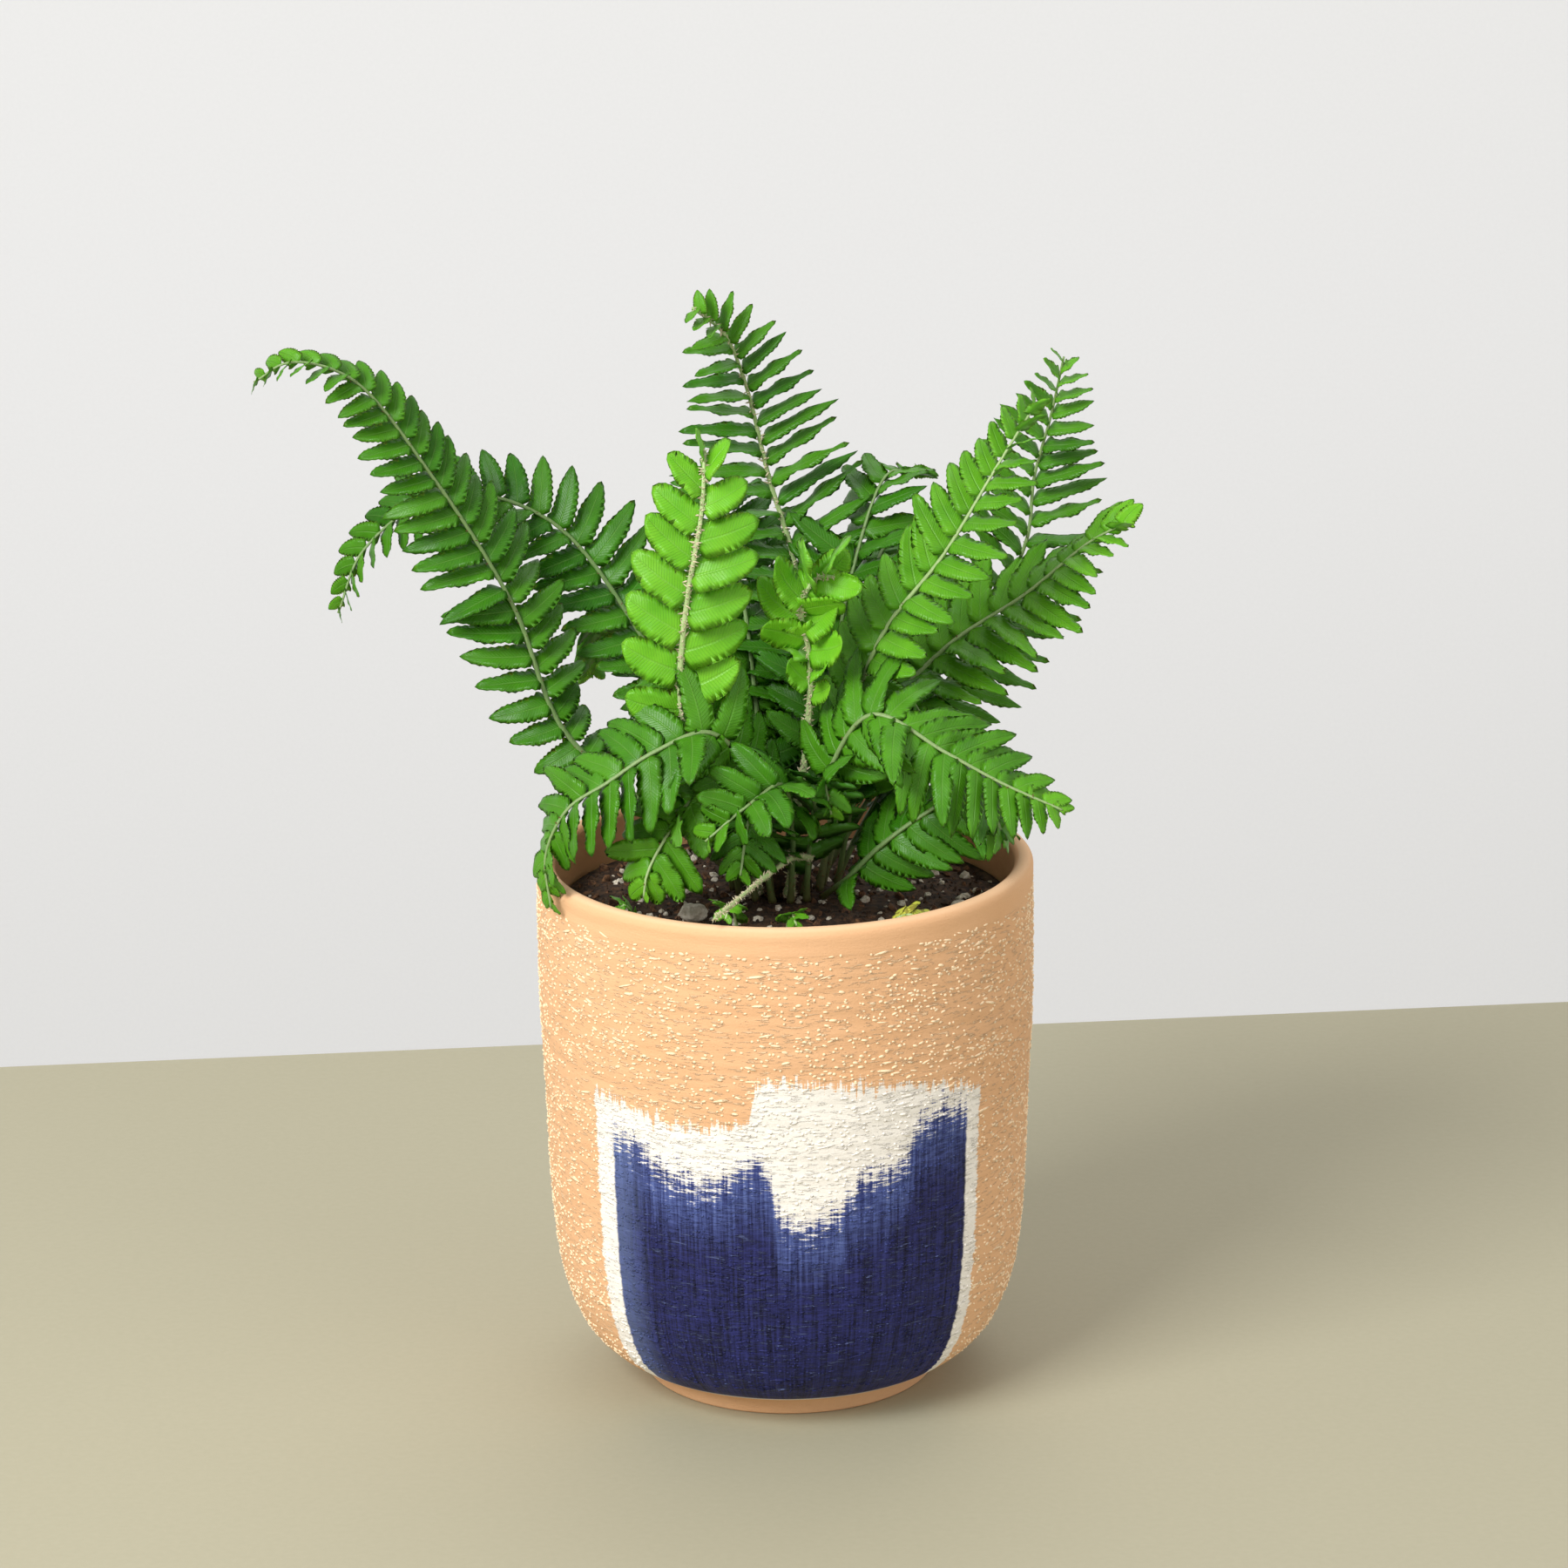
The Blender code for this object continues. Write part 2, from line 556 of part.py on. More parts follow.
def make_fronds():
    """Every frond and sprout as bare rachises, before any pinna grows."""
    made = []
    for spec in FRONDS:
        path = [ring_point(spec["ring"], spec["root"])] + spec["path"]
        frond = Frond(spec["name"], path, spec["pairs"], spec["pinna"], spec["blade"], spec["taper"],
                      spec["face"], spec["lift"], STIPE_RADIUS)
        made.append((frond, "young_leaf" if spec["name"] in YOUNG_FRONDS else "mature_leaf"))
    for spec in ARCHING_FRONDS:
        arch = arch_path(spec["ring"], spec["heading"], spec["reach"], spec["rise"], spec["drop"])
        path = [ring_point(spec["ring"], spec["root"])] + arch
        angle = math.radians(spec["heading"])
        inward = (-math.cos(angle), -math.sin(angle), 0.35)
        frond = Frond(spec["name"], path, spec["pairs"], spec["pinna"], ARCH_BLADE, ARCH_TAPER,
                      (inward, UP), spec["lift"], STIPE_RADIUS)
        made.append((frond, "mature_leaf"))
    for spec in SPROUTS:
        x, y = spec["at"]
        base = soil_height(x, y) + GAP + SPROUT_EASE
        angle = math.radians(spec["heading"])
        ahead = Vector((math.cos(angle), math.sin(angle), 0.0)) * spec["reach"]
        start = Vector((x, y, base))
        path = [start + ahead * out + Vector((0, 0, spec["rise"] * up)) for out, up in SPROUT_SHAPE]
        frond = Frond(spec["name"], path, spec["pairs"], spec["pinna"], 0.34, 0.5, ((0.0, -0.3, 1.0), UP), 6,
                      SPROUT_RADIUS)
        made.append((frond, "yellow_leaf" if spec["name"] == "yellowed_frond" else "young_leaf"))
    return made


def main():
    solids = [build_pot(), build_soil(), build_crown(), build_runner()]
    for seed, (name, at, half_sizes) in enumerate(STONES):
        solids.append(build_stone(name, at, half_sizes, seed))
    trees = [tree_of(obj) for obj in solids]
    fronds = make_fronds()
    rachises = [frond.rachis_tree() for frond, _ in fronds]
    grown = []
    for index, (frond, kind) in enumerate(fronds):
        others = rachises[:index] + rachises[index + 1:]
        frond.grow(trees + others + grown)
        obj = frond.build(kind)
        grown.append(tree_of(obj))


clear_scene()
COLLECTION = bpy.data.collections.new("potted_fern")
bpy.context.scene.collection.children.link(COLLECTION)
main()
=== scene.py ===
"""Looks of a potted sword fern: terracotta pot with a brushed patch, gritty potting mix and living fronds.

Lengths are millimetres until a mesh is made. The origin is the centre of the pot's foot, +Z is up and -Y is
the front. Fronds follow the same rachises as the CAD part. Geometry Nodes make the leaflets, scales, grit
and clay beads.
"""

import math
import random

import bmesh
import bpy
import numpy as np
from mathutils import Matrix, Vector, noise
from mathutils.bvhtree import BVHTree


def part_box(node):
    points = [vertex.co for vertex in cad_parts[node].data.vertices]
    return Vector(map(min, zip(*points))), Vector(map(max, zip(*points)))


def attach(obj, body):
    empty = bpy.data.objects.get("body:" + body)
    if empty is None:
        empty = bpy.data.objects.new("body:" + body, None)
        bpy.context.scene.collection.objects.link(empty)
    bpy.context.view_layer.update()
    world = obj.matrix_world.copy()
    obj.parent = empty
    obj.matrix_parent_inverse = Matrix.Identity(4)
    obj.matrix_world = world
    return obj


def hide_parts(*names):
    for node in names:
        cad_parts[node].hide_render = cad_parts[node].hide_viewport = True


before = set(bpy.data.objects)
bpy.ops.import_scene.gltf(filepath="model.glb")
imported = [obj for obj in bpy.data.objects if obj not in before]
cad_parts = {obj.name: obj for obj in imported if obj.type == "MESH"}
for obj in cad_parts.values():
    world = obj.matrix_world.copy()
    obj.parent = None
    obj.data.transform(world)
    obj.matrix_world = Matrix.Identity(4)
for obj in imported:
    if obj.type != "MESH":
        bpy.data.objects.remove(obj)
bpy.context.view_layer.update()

MM = 0.001

GAP = 0.3
POT_RADIUS = 65.0
POT_HEIGHT = 142.0
FOOT_RADIUS = 39.0
WALL = 5.0
FLOOR_TOP = 11.0
LIP_RADIUS = 2.4
CORNER_HEIGHT = 30.0
CORNER_REACH = 26.0
WALL_TAPER = 2.4
TAPER_HEIGHT = 100.0
SOIL_EDGE = 128.5
SOIL_TOP = 131.5
SOIL_EASE = 0.1

# Crown: the woody clump that the stipes rise from
CROWN_RADIUS = 7.5
CROWN_HEIGHT = 9.0
INNER_RING = 9.6
OUTER_RING = 13.6
STIPE_START = 1.6

# Fronds
STIPE_RADIUS = 0.95
TIP_RADIUS = 0.32
STIPE_STEP = 9.0
PINNA_FORWARD = 10.0
PINNA_TIP_SWEEP = 0.16
PINNA_WIDTH_TO_PITCH = 0.8
PINNA_WIDEST = 0.42
PINNA_THICKNESS = 0.55
CLEARANCE = 0.38
LIFT_TRIES = (0, 14, -14, 28, -28, 42, -42)
LENGTH_TRIES = (1.0, 0.78, 0.55)
PINNA_AT_FOOT = 0.62
PINNA_GAIN = 1.9
PINNA_LOSS = 0.86
PINNA_LOSS_POWER = 1.2
PINNA_MORE_FORWARD = 24.0
CROWDING = 0.22
CURVE_SAMPLES = 24

UP = (0.0, 0.0, 1.0)
FRONT = (0.0, -1.0, 0.25)
FRONT_UP = (0.0, -0.8, 0.6)

# ring is the distance of the stipe's root from the axis and root its direction, in degrees from +X.
# path holds the points that the rachis passes through. blade is the share of the path below the first pinna.
# taper is the share of the blade at which its pinnae begin to shorten. face holds the way the upper side
# looks at the base and at the tip. lift raises (+) or drops (-) the pinnae out of the blade's plane.
FRONDS = [
    dict(name="frond_left_arching", ring=INNER_RING, root=178, pairs=26, pinna=19, blade=0.26, taper=0.3,
         face=((0.5, -1.0, 0.3), (-0.2, -0.5, 0.9)), lift=-8,
         path=[(-32, 2, 152), (-57, 6, 174), (-70, 8, 208), (-89, 2, 243), (-109, -5, 271),
               (-124, -9, 276), (-133, -9, 271)]),
    dict(name="frond_left_behind", ring=INNER_RING, root=146, pairs=24, pinna=19, blade=0.2, taper=0.35,
         face=((0.3, -1.0, 0.4), (-0.3, -0.5, 0.8)), lift=6,
         path=[(-20, 16, 159), (-37, 26, 194), (-61, 30, 225), (-88, 27, 233), (-109, 20, 220),
               (-116, 16, 204)]),
    dict(name="frond_front_bright", ring=INNER_RING, root=-138, pairs=9, pinna=17, blade=0.32, taper=0.65,
         face=(FRONT, FRONT), lift=4,
         path=[(-21, -22, 168), (-26, -27, 192), (-24, -30, 218), (-20, -30, 241), (-19, -26, 256)]),
    dict(name="frond_tall_centre", ring=INNER_RING, root=82, pairs=23, pinna=26, blade=0.2, taper=0.42,
         face=(FRONT, FRONT_UP), lift=12,
         path=[(5, 20, 172), (4, 27, 210), (-3, 28, 236), (-9, 22, 263), (-14, 15, 277), (-22, 6, 286)]),
    dict(name="frond_tall_right", ring=INNER_RING, root=24, pairs=22, pinna=21, blade=0.22, taper=0.55,
         face=(FRONT, FRONT), lift=8,
         path=[(32, 14, 168), (53, 20, 198), (64, 22, 220), (66, 22, 237), (70, 18, 254), (73, 12, 271)]),
    dict(name="frond_right_bright_edge", ring=INNER_RING, root=-22, pairs=19, pinna=17, blade=0.2, taper=0.6,
         face=((-0.8, -0.7, 0.4), (-0.6, -0.8, 0.4)), lift=10,
         path=[(17, -10, 180), (26, -16, 206), (41, -20, 227), (55, -18, 250), (65, -10, 264)]),
    dict(name="frond_right_low_arch", ring=INNER_RING, root=4, pairs=18, pinna=23, blade=0.2, taper=0.6,
         face=((-0.6, -0.5, 0.8), (-0.4, -0.2, 0.9)), lift=-10,
         path=[(23, 2, 174), (42, 4, 196), (63, 2, 211), (79, -4, 226), (88, -8, 232)]),
    dict(name="frond_front_left_droop", ring=INNER_RING, root=-112, pairs=18, pinna=19, blade=0.2, taper=0.45,
         face=((0.2, -0.7, 0.8), (-0.7, -0.6, 0.4)), lift=-8,
         path=[(-7, -20, 166), (-19, -31, 184), (-33, -35, 180), (-45, -35, 172), (-55, -34, 165),
               (-61, -32, 152), (-60, -32, 138)]),
    dict(name="frond_front_right_droop", ring=INNER_RING, root=-60, pairs=17, pinna=22, blade=0.3, taper=0.5,
         face=((0.0, -0.7, 0.8), (0.1, -0.6, 0.8)), lift=-10,
         path=[(12, -20, 171), (23, -30, 188), (41, -38, 180), (55, -42, 173), (70, -46, 167)]),
    dict(name="frond_right_comb", ring=OUTER_RING, root=-44, pairs=12, pinna=18, blade=0.2, taper=0.7,
         face=((0.2, -0.6, 0.8), (0.4, -0.4, 0.8)), lift=-22,
         path=[(17, -22, 143), (24, -25, 151), (36, -28, 161), (46, -31, 167), (53, -35, 163),
               (56, -38, 156)]),
    dict(name="frond_left_low", ring=OUTER_RING, root=-124, pairs=9, pinna=16, blade=0.3, taper=0.6,
         face=((0.0, -0.6, 0.8), (-0.3, -0.9, 0.5)), lift=-6,
         path=[(-14, -22, 160), (-22, -30, 167), (-30, -36, 158), (-35, -39, 149), (-36, -40, 143)]),
    dict(name="frond_centre_folded", ring=OUTER_RING, root=-84, pairs=9, pinna=15, blade=0.3, taper=0.5,
         face=((0.4, -0.2, 1.0), (0.3, -0.4, 0.9)), lift=24,
         path=[(2, -24, 160), (-1, -34, 171), (-9, -42, 168), (-20, -47, 160)]),
    dict(name="frond_young_curled", ring=INNER_RING, root=-84, pairs=8, pinna=9, blade=0.55, taper=0.7,
         face=((-0.5, -1.0, 0.0), (0.3, -0.9, 0.3)), lift=14,
         path=[(6, -13, 177), (7, -17, 199), (5, -20, 213), (9, -23, 222), (17, -24, 222)]),
]

# Plainer fronds: they rise from the crown towards a heading, in degrees from +X, and arch over.
# reach is the distance of the tip from the axis, rise the height of the arch above the soil and drop how far
# the tip hangs below the arch.
ARCHING_FRONDS = [
    dict(name="frond_back_right_upright", ring=INNER_RING, root=54, heading=50, reach=58, rise=104, drop=2,
         pairs=16, pinna=22, lift=8),
    dict(name="frond_back_right_arching", ring=OUTER_RING, root=66, heading=64, reach=92, rise=80, drop=24,
         pairs=18, pinna=22, lift=-6),
    dict(name="frond_back_arching", ring=OUTER_RING, root=86, heading=87, reach=102, rise=68, drop=40,
         pairs=19, pinna=22, lift=-8),
    dict(name="frond_back_left_upright", ring=INNER_RING, root=114, heading=112, reach=58, rise=98, drop=4,
         pairs=15, pinna=21, lift=8),
    dict(name="frond_back_left_arching", ring=OUTER_RING, root=130, heading=126, reach=90, rise=70, drop=30,
         pairs=18, pinna=21, lift=-6),
    dict(name="frond_left_low_behind", ring=OUTER_RING, root=158, heading=154, reach=56, rise=42, drop=18,
         pairs=11, pinna=15, lift=-10),
    dict(name="frond_right_low", ring=OUTER_RING, root=12, heading=10, reach=58, rise=42, drop=14,
         pairs=11, pinna=16, lift=-12),
    dict(name="frond_right_inner", ring=OUTER_RING, root=-8, heading=-16, reach=40, rise=56, drop=10,
         pairs=10, pinna=14, lift=10),
    dict(name="frond_left_inner", ring=OUTER_RING, root=-170, heading=-170, reach=40, rise=60, drop=10,
         pairs=10, pinna=15, lift=8),
    dict(name="frond_front_inner", ring=OUTER_RING, root=-66, heading=-68, reach=32, rise=38, drop=8,
         pairs=8, pinna=14, lift=12),
    dict(name="frond_front_left_inner", ring=OUTER_RING, root=-150, heading=-150, reach=34, rise=40, drop=8,
         pairs=8, pinna=14, lift=12),
    dict(name="frond_back_inner", ring=OUTER_RING, root=101, heading=101, reach=34, rise=58, drop=4,
         pairs=10, pinna=17, lift=8),
    dict(name="frond_right_back_inner", ring=OUTER_RING, root=40, heading=40, reach=38, rise=62, drop=6,
         pairs=11, pinna=17, lift=8),
    dict(name="frond_front_low", ring=OUTER_RING, root=-104, heading=-106, reach=41, rise=29, drop=12,
         pairs=9, pinna=15, lift=-8),
]
ARCH_SHAPE = ((0.16, 0.4), (0.4, 0.78), (0.7, 1.0))
ARCH_BLADE = 0.18
ARCH_TAPER = 0.55
ARCH_LEAN = 0.35

# Young growth at the soil: small fronds with few pinnae, each rooted on its own
SPROUTS = [
    dict(name="sprout_front", at=(-12, -44), heading=-110, reach=9, rise=13, pairs=4, pinna=6),
    dict(name="sprout_front_right", at=(0, -46), heading=-70, reach=8, rise=11, pairs=4, pinna=5),
    dict(name="sprout_left", at=(-38, -30), heading=-150, reach=6, rise=8, pairs=4, pinna=5),
    dict(name="yellowed_frond", at=(24, -40), heading=-20, reach=13, rise=8, pairs=5, pinna=7),
]
SPROUT_RADIUS = 0.6
SPROUT_EASE = 0.9
SPROUT_SHAPE = ((0.0, 0.0), (0.25, 0.7), (0.65, 1.0), (1.0, 0.8))
SPROUT_BLADE = 0.34
SPROUT_TAPER = 0.5
SPROUT_LIFT = 6

# Runner: the creeping stem from the crown to the front rim
RUNNER_RADIUS = 0.85
RUNNER_PATH = [(7, -17, 146), (2, -28, 149.5), (-5, -41, 148.5), (-11, -52, 147), (-16, -60, 145.2),
               (-18, -63, 144.6)]

# Raised clay on the pot and loose stuff on the soil. gap is the least distance between two, density the most
# of them on a square metre.
BEADS_FROM, BEADS_TO = 12.0, 135.5
BEAD_LAYERS = (
    dict(name="clay_beads", seed=1, gap=0.8, density=3.4e5, height=0.62, breadth=0.82, longest=2.2),
    dict(name="clay_dashes", seed=2, gap=1.9, density=7.0e4, height=0.6, breadth=0.8, longest=6.2),
)
SOIL_LAYERS = (
    dict(name="soil_crumbs", seed=5, gap=0.9, density=3.2e5, smallest=0.7, largest=2.6, sink=0.1),
    dict(name="soil_bark", seed=6, gap=3.2, density=5.0e4, smallest=2.2, largest=6.6, sink=0.3),
    dict(name="perlite_grains", seed=7, gap=2.8, density=4.4e4, smallest=1.2, largest=4.2, sink=0.2),
)
SOIL_SURFACE = 127.0

# Stage, in millimetres, and camera, in metres
TABLE_BACK = (27.0, 498.0)
TABLE_REACH = 2500.0
TABLE_THICKNESS = 30.0
WALL_REACH = 4000.0
WALL_BEHIND = 1500.0
CAMERA_DOWN = math.radians(16.54)
CAMERA_ROLL = math.radians(-0.6)
CAMERA_AT = (0.0, -1.3, 0.547)
CAMERA_LENS = 119.48
SKY_STRENGTH = 0.66
LOOKED_AT = Vector((0.0, 0.0, 0.15))

PLANT_PREFIXES = ("frond_", "sprout_", "yellowed_")


def depth_in_corner(z):
    """How far a height lies down the inside's rounded bottom corner, from 0 to 1."""
    return max(0.0, FLOOR_TOP + CORNER_HEIGHT - z) / CORNER_HEIGHT


def inner_radius(z):
    """Radius of the pot's inside at a height."""
    drop = 1.0 - math.sqrt(max(0.0, 1.0 - depth_in_corner(z) ** 2))
    taper = WALL_TAPER * max(0.0, 1.0 - z / TAPER_HEIGHT)
    return POT_RADIUS - WALL - taper - drop * CORNER_REACH


def linear(hex_colour):
    """An sRGB hex colour as linear RGBA."""
    parts = [int(hex_colour[place:place + 2], 16) / 255 for place in (1, 3, 5)]
    return (*[part / 12.92 if part <= 0.04045 else ((part + 0.055) / 1.055) ** 2.4 for part in parts], 1.0)


MATH = "ShaderNodeMath"
MIX = "ShaderNodeMix"
EASE = "ShaderNodeMapRange"
NOISE = "ShaderNodeTexNoise"
SMOOTH = dict(interpolation_type="SMOOTHSTEP")
COLOURS = dict(out=2, data_type="RGBA")


def add(tree, kind, *inputs, out=0, **settings):
    """Adds a node with its settings and links, and returns one of its outputs.

    Inputs come in order or as a dictionary. Each is a socket to link or a value to hold.
    """
    node = tree.nodes.new(kind)
    for name, value in settings.items():
        setattr(node, name, value)
    pairs = inputs[0].items() if inputs and isinstance(inputs[0], dict) else enumerate(inputs)
    for key, value in pairs:
        if isinstance(value, bpy.types.NodeSocket):
            tree.links.new(value, node.inputs[key])
        elif value is not None:
            node.inputs[key].default_value = value
    return node.outputs[out] if node.outputs else None


def new_material(name):
    made = bpy.data.materials.new(name)
    made.use_nodes = True
    made.node_tree.nodes.clear()
    return made, made.node_tree


def millimetres(tree):
    """The place on the object, in millimetres."""
    where = add(tree, "ShaderNodeTexCoord", out="Object")
    return add(tree, "ShaderNodeVectorMath", {0: where, 3: 1 / MM}, operation="SCALE")


# ---------------------------------------------------------------- leaf, stem and earth finishes

def living_leaf():
    """Fern leaflet: a waxy cuticle over forked veins. Deep green when old, clear yellow-green when young."""
    made, tree = new_material("waxy fern leaflet")
    age = add(tree, "ShaderNodeAttribute", out="Fac", attribute_name="youth")
    tint = add(tree, "ShaderNodeAttribute", out="Fac", attribute_name="tint")
    under = add(tree, "ShaderNodeAttribute", out="Fac", attribute_name="under")
    sheet = add(tree, "ShaderNodeSeparateXYZ", {0: add(tree, "ShaderNodeUVMap", uv_map="leaf")})
    along, across, _ = sheet.node.outputs
    off_midrib = add(tree, MATH, add(tree, MATH, across, 2.0, -1.0, operation="MULTIPLY_ADD"),
                     operation="ABSOLUTE")
    # side veins leave the midrib at a slant, about one every 0.8 mm
    slant = add(tree, MATH, off_midrib, -3.2, add(tree, MATH, along, 22.0, operation="MULTIPLY"),
                operation="MULTIPLY_ADD")
    wave = add(tree, MATH, add(tree, MATH, slant, 2 * math.pi, operation="MULTIPLY"), operation="SINE")
    vein = add(tree, EASE, wave, 0.55, 1.0, **SMOOTH)
    midrib = add(tree, EASE, off_midrib, 0.09, 0.02, **SMOOTH)
    where = millimetres(tree)
    patchy = add(tree, NOISE, {"Vector": where, "Scale": 0.12, "Detail": 4.0, "Roughness": 0.5})
    speckle = add(tree, NOISE, {"Vector": where, "Scale": 2.2, "Detail": 2.0, "Roughness": 0.5})
    old = add(tree, MIX, {0: patchy, 6: linear("#0B3601"), 7: linear("#37820A")}, **COLOURS)
    young = add(tree, MIX, {0: patchy, 6: linear("#4FA70A"), 7: linear("#93DB35")}, **COLOURS)
    body = add(tree, MIX, {0: age, 6: old, 7: young}, **COLOURS)
    for mask, most, shade in ((tint, 0.35, "#5C9C1E"), (vein, 0.2, "#559A28"), (midrib, 0.16, "#8FBF62"),
                              (speckle, 0.14, "#0A2F0D")):
        share = add(tree, MATH, mask, most, operation="MULTIPLY")
        body = add(tree, MIX, {0: share, 6: body, 7: linear(shade)}, **COLOURS)
    beneath = add(tree, MIX, {0: 0.45, 6: body, 7: linear("#5E9440")}, **COLOURS)
    colour = add(tree, MIX, {0: under, 6: body, 7: beneath}, **COLOURS)
    relief = add(tree, MATH, vein, -0.5, add(tree, MATH, speckle, 0.5, operation="MULTIPLY"),
                 operation="MULTIPLY_ADD")
    relief = add(tree, MATH, midrib, -0.9, relief, operation="MULTIPLY_ADD")
    roughness = add(tree, MATH, speckle, 0.24, 0.24, operation="MULTIPLY_ADD")
    shader = add(tree, "ShaderNodeBsdfPrincipled",
                 {"Base Color": colour, "Roughness": roughness, "IOR": 1.45,
                  "Specular IOR Level": 0.32,
                  "Normal": add(tree, "ShaderNodeBump",
                                {"Height": relief, "Distance": 0.12 * MM, "Strength": 1.0}),
                  "Subsurface Weight": 0.12, "Subsurface Radius": (0.25, 0.6, 0.08),
                  "Subsurface Scale": 0.0012})
    add(tree, "ShaderNodeOutputMaterial", shader)
    return made


def yellowing_leaf():
    """A leaflet past its life: yellow tissue with brown blotches."""
    made, tree = new_material("yellowing fern leaflet")
    where = millimetres(tree)
    blotch = add(tree, EASE,
                 add(tree, NOISE, {"Vector": where, "Scale": 0.6, "Detail": 5.0, "Roughness": 0.5}), 0.5,
                 0.62, **SMOOTH)
    drift = add(tree, NOISE, {"Vector": where, "Scale": 0.25, "Detail": 2.0, "Roughness": 0.5})
    body = add(tree, MIX, {0: drift, 6: linear("#8FA63A"), 7: linear("#D9CF4A")}, **COLOURS)
    colour = add(tree, MIX, {0: add(tree, MATH, blotch, 0.7, operation="MULTIPLY"), 6: body,
                             7: linear("#6E5A22")}, **COLOURS)
    shader = add(tree, "ShaderNodeBsdfPrincipled",
                 {"Base Color": colour, "Roughness": 0.62,
                  "Normal": add(tree, "ShaderNodeBump",
                                {"Height": blotch, "Distance": 0.15 * MM, "Strength": 1.0})})
    add(tree, "ShaderNodeOutputMaterial", shader)
    return made


def fern_stem():
    """Rachis: smooth green when fresh, browner at the foot, with a faint lengthwise grain."""
    made, tree = new_material("fern rachis")
    age = add(tree, "ShaderNodeAttribute", out="Fac", attribute_name="youth")
    foot = add(tree, "ShaderNodeAttribute", out="Fac", attribute_name="foot")
    where = millimetres(tree)
    grain = add(tree, NOISE, {"Vector": add(tree, "ShaderNodeMapping", {0: where, 3: (2.5, 2.5, 0.3)}),
                              "Scale": 1.0, "Detail": 3.0, "Roughness": 0.5})
    fresh = add(tree, MIX, {0: grain, 6: linear("#86A95C"), 7: linear("#C6D8A0")}, **COLOURS)
    old = add(tree, MIX, {0: grain, 6: linear("#2F5B22"), 7: linear("#6A8B48")}, **COLOURS)
    colour = add(tree, MIX, {0: age, 6: old, 7: fresh}, **COLOURS)
    colour = add(tree, MIX, {0: add(tree, MATH, foot, 0.75, operation="MULTIPLY"), 6: colour,
                             7: linear("#4A3418")}, **COLOURS)
    shader = add(tree, "ShaderNodeBsdfPrincipled",
                 {"Base Color": colour, "Roughness": 0.5,
                  "Normal": add(tree, "ShaderNodeBump",
                                {"Height": grain, "Distance": 0.1 * MM, "Strength": 1.0})})
    add(tree, "ShaderNodeOutputMaterial", shader)
    return made


def dry_scale(name, dark, pale):
    """Papery scales and hairs: thin, matt and uneven in colour."""
    made, tree = new_material(name)
    where = millimetres(tree)
    colour = add(tree, MIX,
                 {0: add(tree, NOISE, {"Vector": where, "Scale": 1.5, "Detail": 2.0, "Roughness": 0.5}),
                  6: linear(dark), 7: linear(pale)}, **COLOURS)
    shader = add(tree, "ShaderNodeBsdfPrincipled",
                 {"Base Color": colour, "Roughness": 0.7,
                  "Normal": add(tree, "ShaderNodeBump",
                                {"Height": add(tree, NOISE,
                                               {"Vector": where, "Scale": 4.0, "Detail": 3.0,
                                                "Roughness": 0.5}), "Distance": 0.05 * MM,
                                 "Strength": 1.0})})
    add(tree, "ShaderNodeOutputMaterial", shader)
    return made


def grit(name, dark, pale, roughness, grain, depth):
    """Broken earth, bark or mineral: grain is lumps per millimetre, depth their height in millimetres."""
    made, tree = new_material(name)
    where = millimetres(tree)
    coarse = add(tree, NOISE, {"Vector": where, "Scale": grain, "Detail": 5.0, "Roughness": 0.65})
    fine = add(tree, NOISE, {"Vector": where, "Scale": grain * 5.0, "Detail": 3.0, "Roughness": 0.5})
    colour = add(tree, MIX, {0: add(tree, EASE, coarse, 0.35, 0.68, **SMOOTH),
                             6: linear(dark), 7: linear(pale)}, **COLOURS)
    colour = add(tree, MIX, {0: add(tree, MATH, fine, 0.3, operation="MULTIPLY"), 6: colour,
                             7: linear(dark)}, **COLOURS)
    height = add(tree, MATH, fine, 0.4, coarse, operation="MULTIPLY_ADD")
    shader = add(tree, "ShaderNodeBsdfPrincipled",
                 {"Base Color": colour, "Roughness": roughness,
                  "Normal": add(tree, "ShaderNodeBump",
                                {"Height": height, "Distance": depth * MM, "Strength": 1.0})})
    add(tree, "ShaderNodeOutputMaterial", shader)
    return made


def peat_mix():
    """Peat-based potting mix: dark, matt and fibrous, with lumps of about 2 mm."""
    return grit("peat potting mix", "#22160D", "#5E432C", 0.93, 0.55, 0.35)


def bark_chips():
    """Milled pine bark: reddish brown flakes with a ragged grain."""
    return grit("milled pine bark", "#3A2213", "#8A6240", 0.88, 0.9, 0.25)


def expanded_perlite():
    """Expanded perlite: white, chalky and pitted."""
    return grit("expanded perlite", "#B9AC93", "#F4EFE2", 0.9, 1.6, 0.2)


def limestone_pebble():
    """Broken limestone: pale grey-cream with faint darker seams."""
    return grit("broken limestone", "#A79F8D", "#E9E4D6", 0.82, 0.5, 0.3)


def fern_crown():
    """Fern crown: dark, woody and fibrous."""
    return grit("woody fern crown", "#1E120A", "#55391E", 0.9, 1.1, 0.5)


def old_scales():
    """Dry ramenta of old stems: chestnut brown, papery."""
    return dry_scale("chestnut fern scales", "#4A2D16", "#8A6238")


def silvery_scales():
    """Fresh ramenta: silvery buff hairs that make young stems look woolly."""
    return dry_scale("silvery fern scales", "#B7A67E", "#E8DFC4")


# ---------------------------------------------------------------- the pot's clay and paint

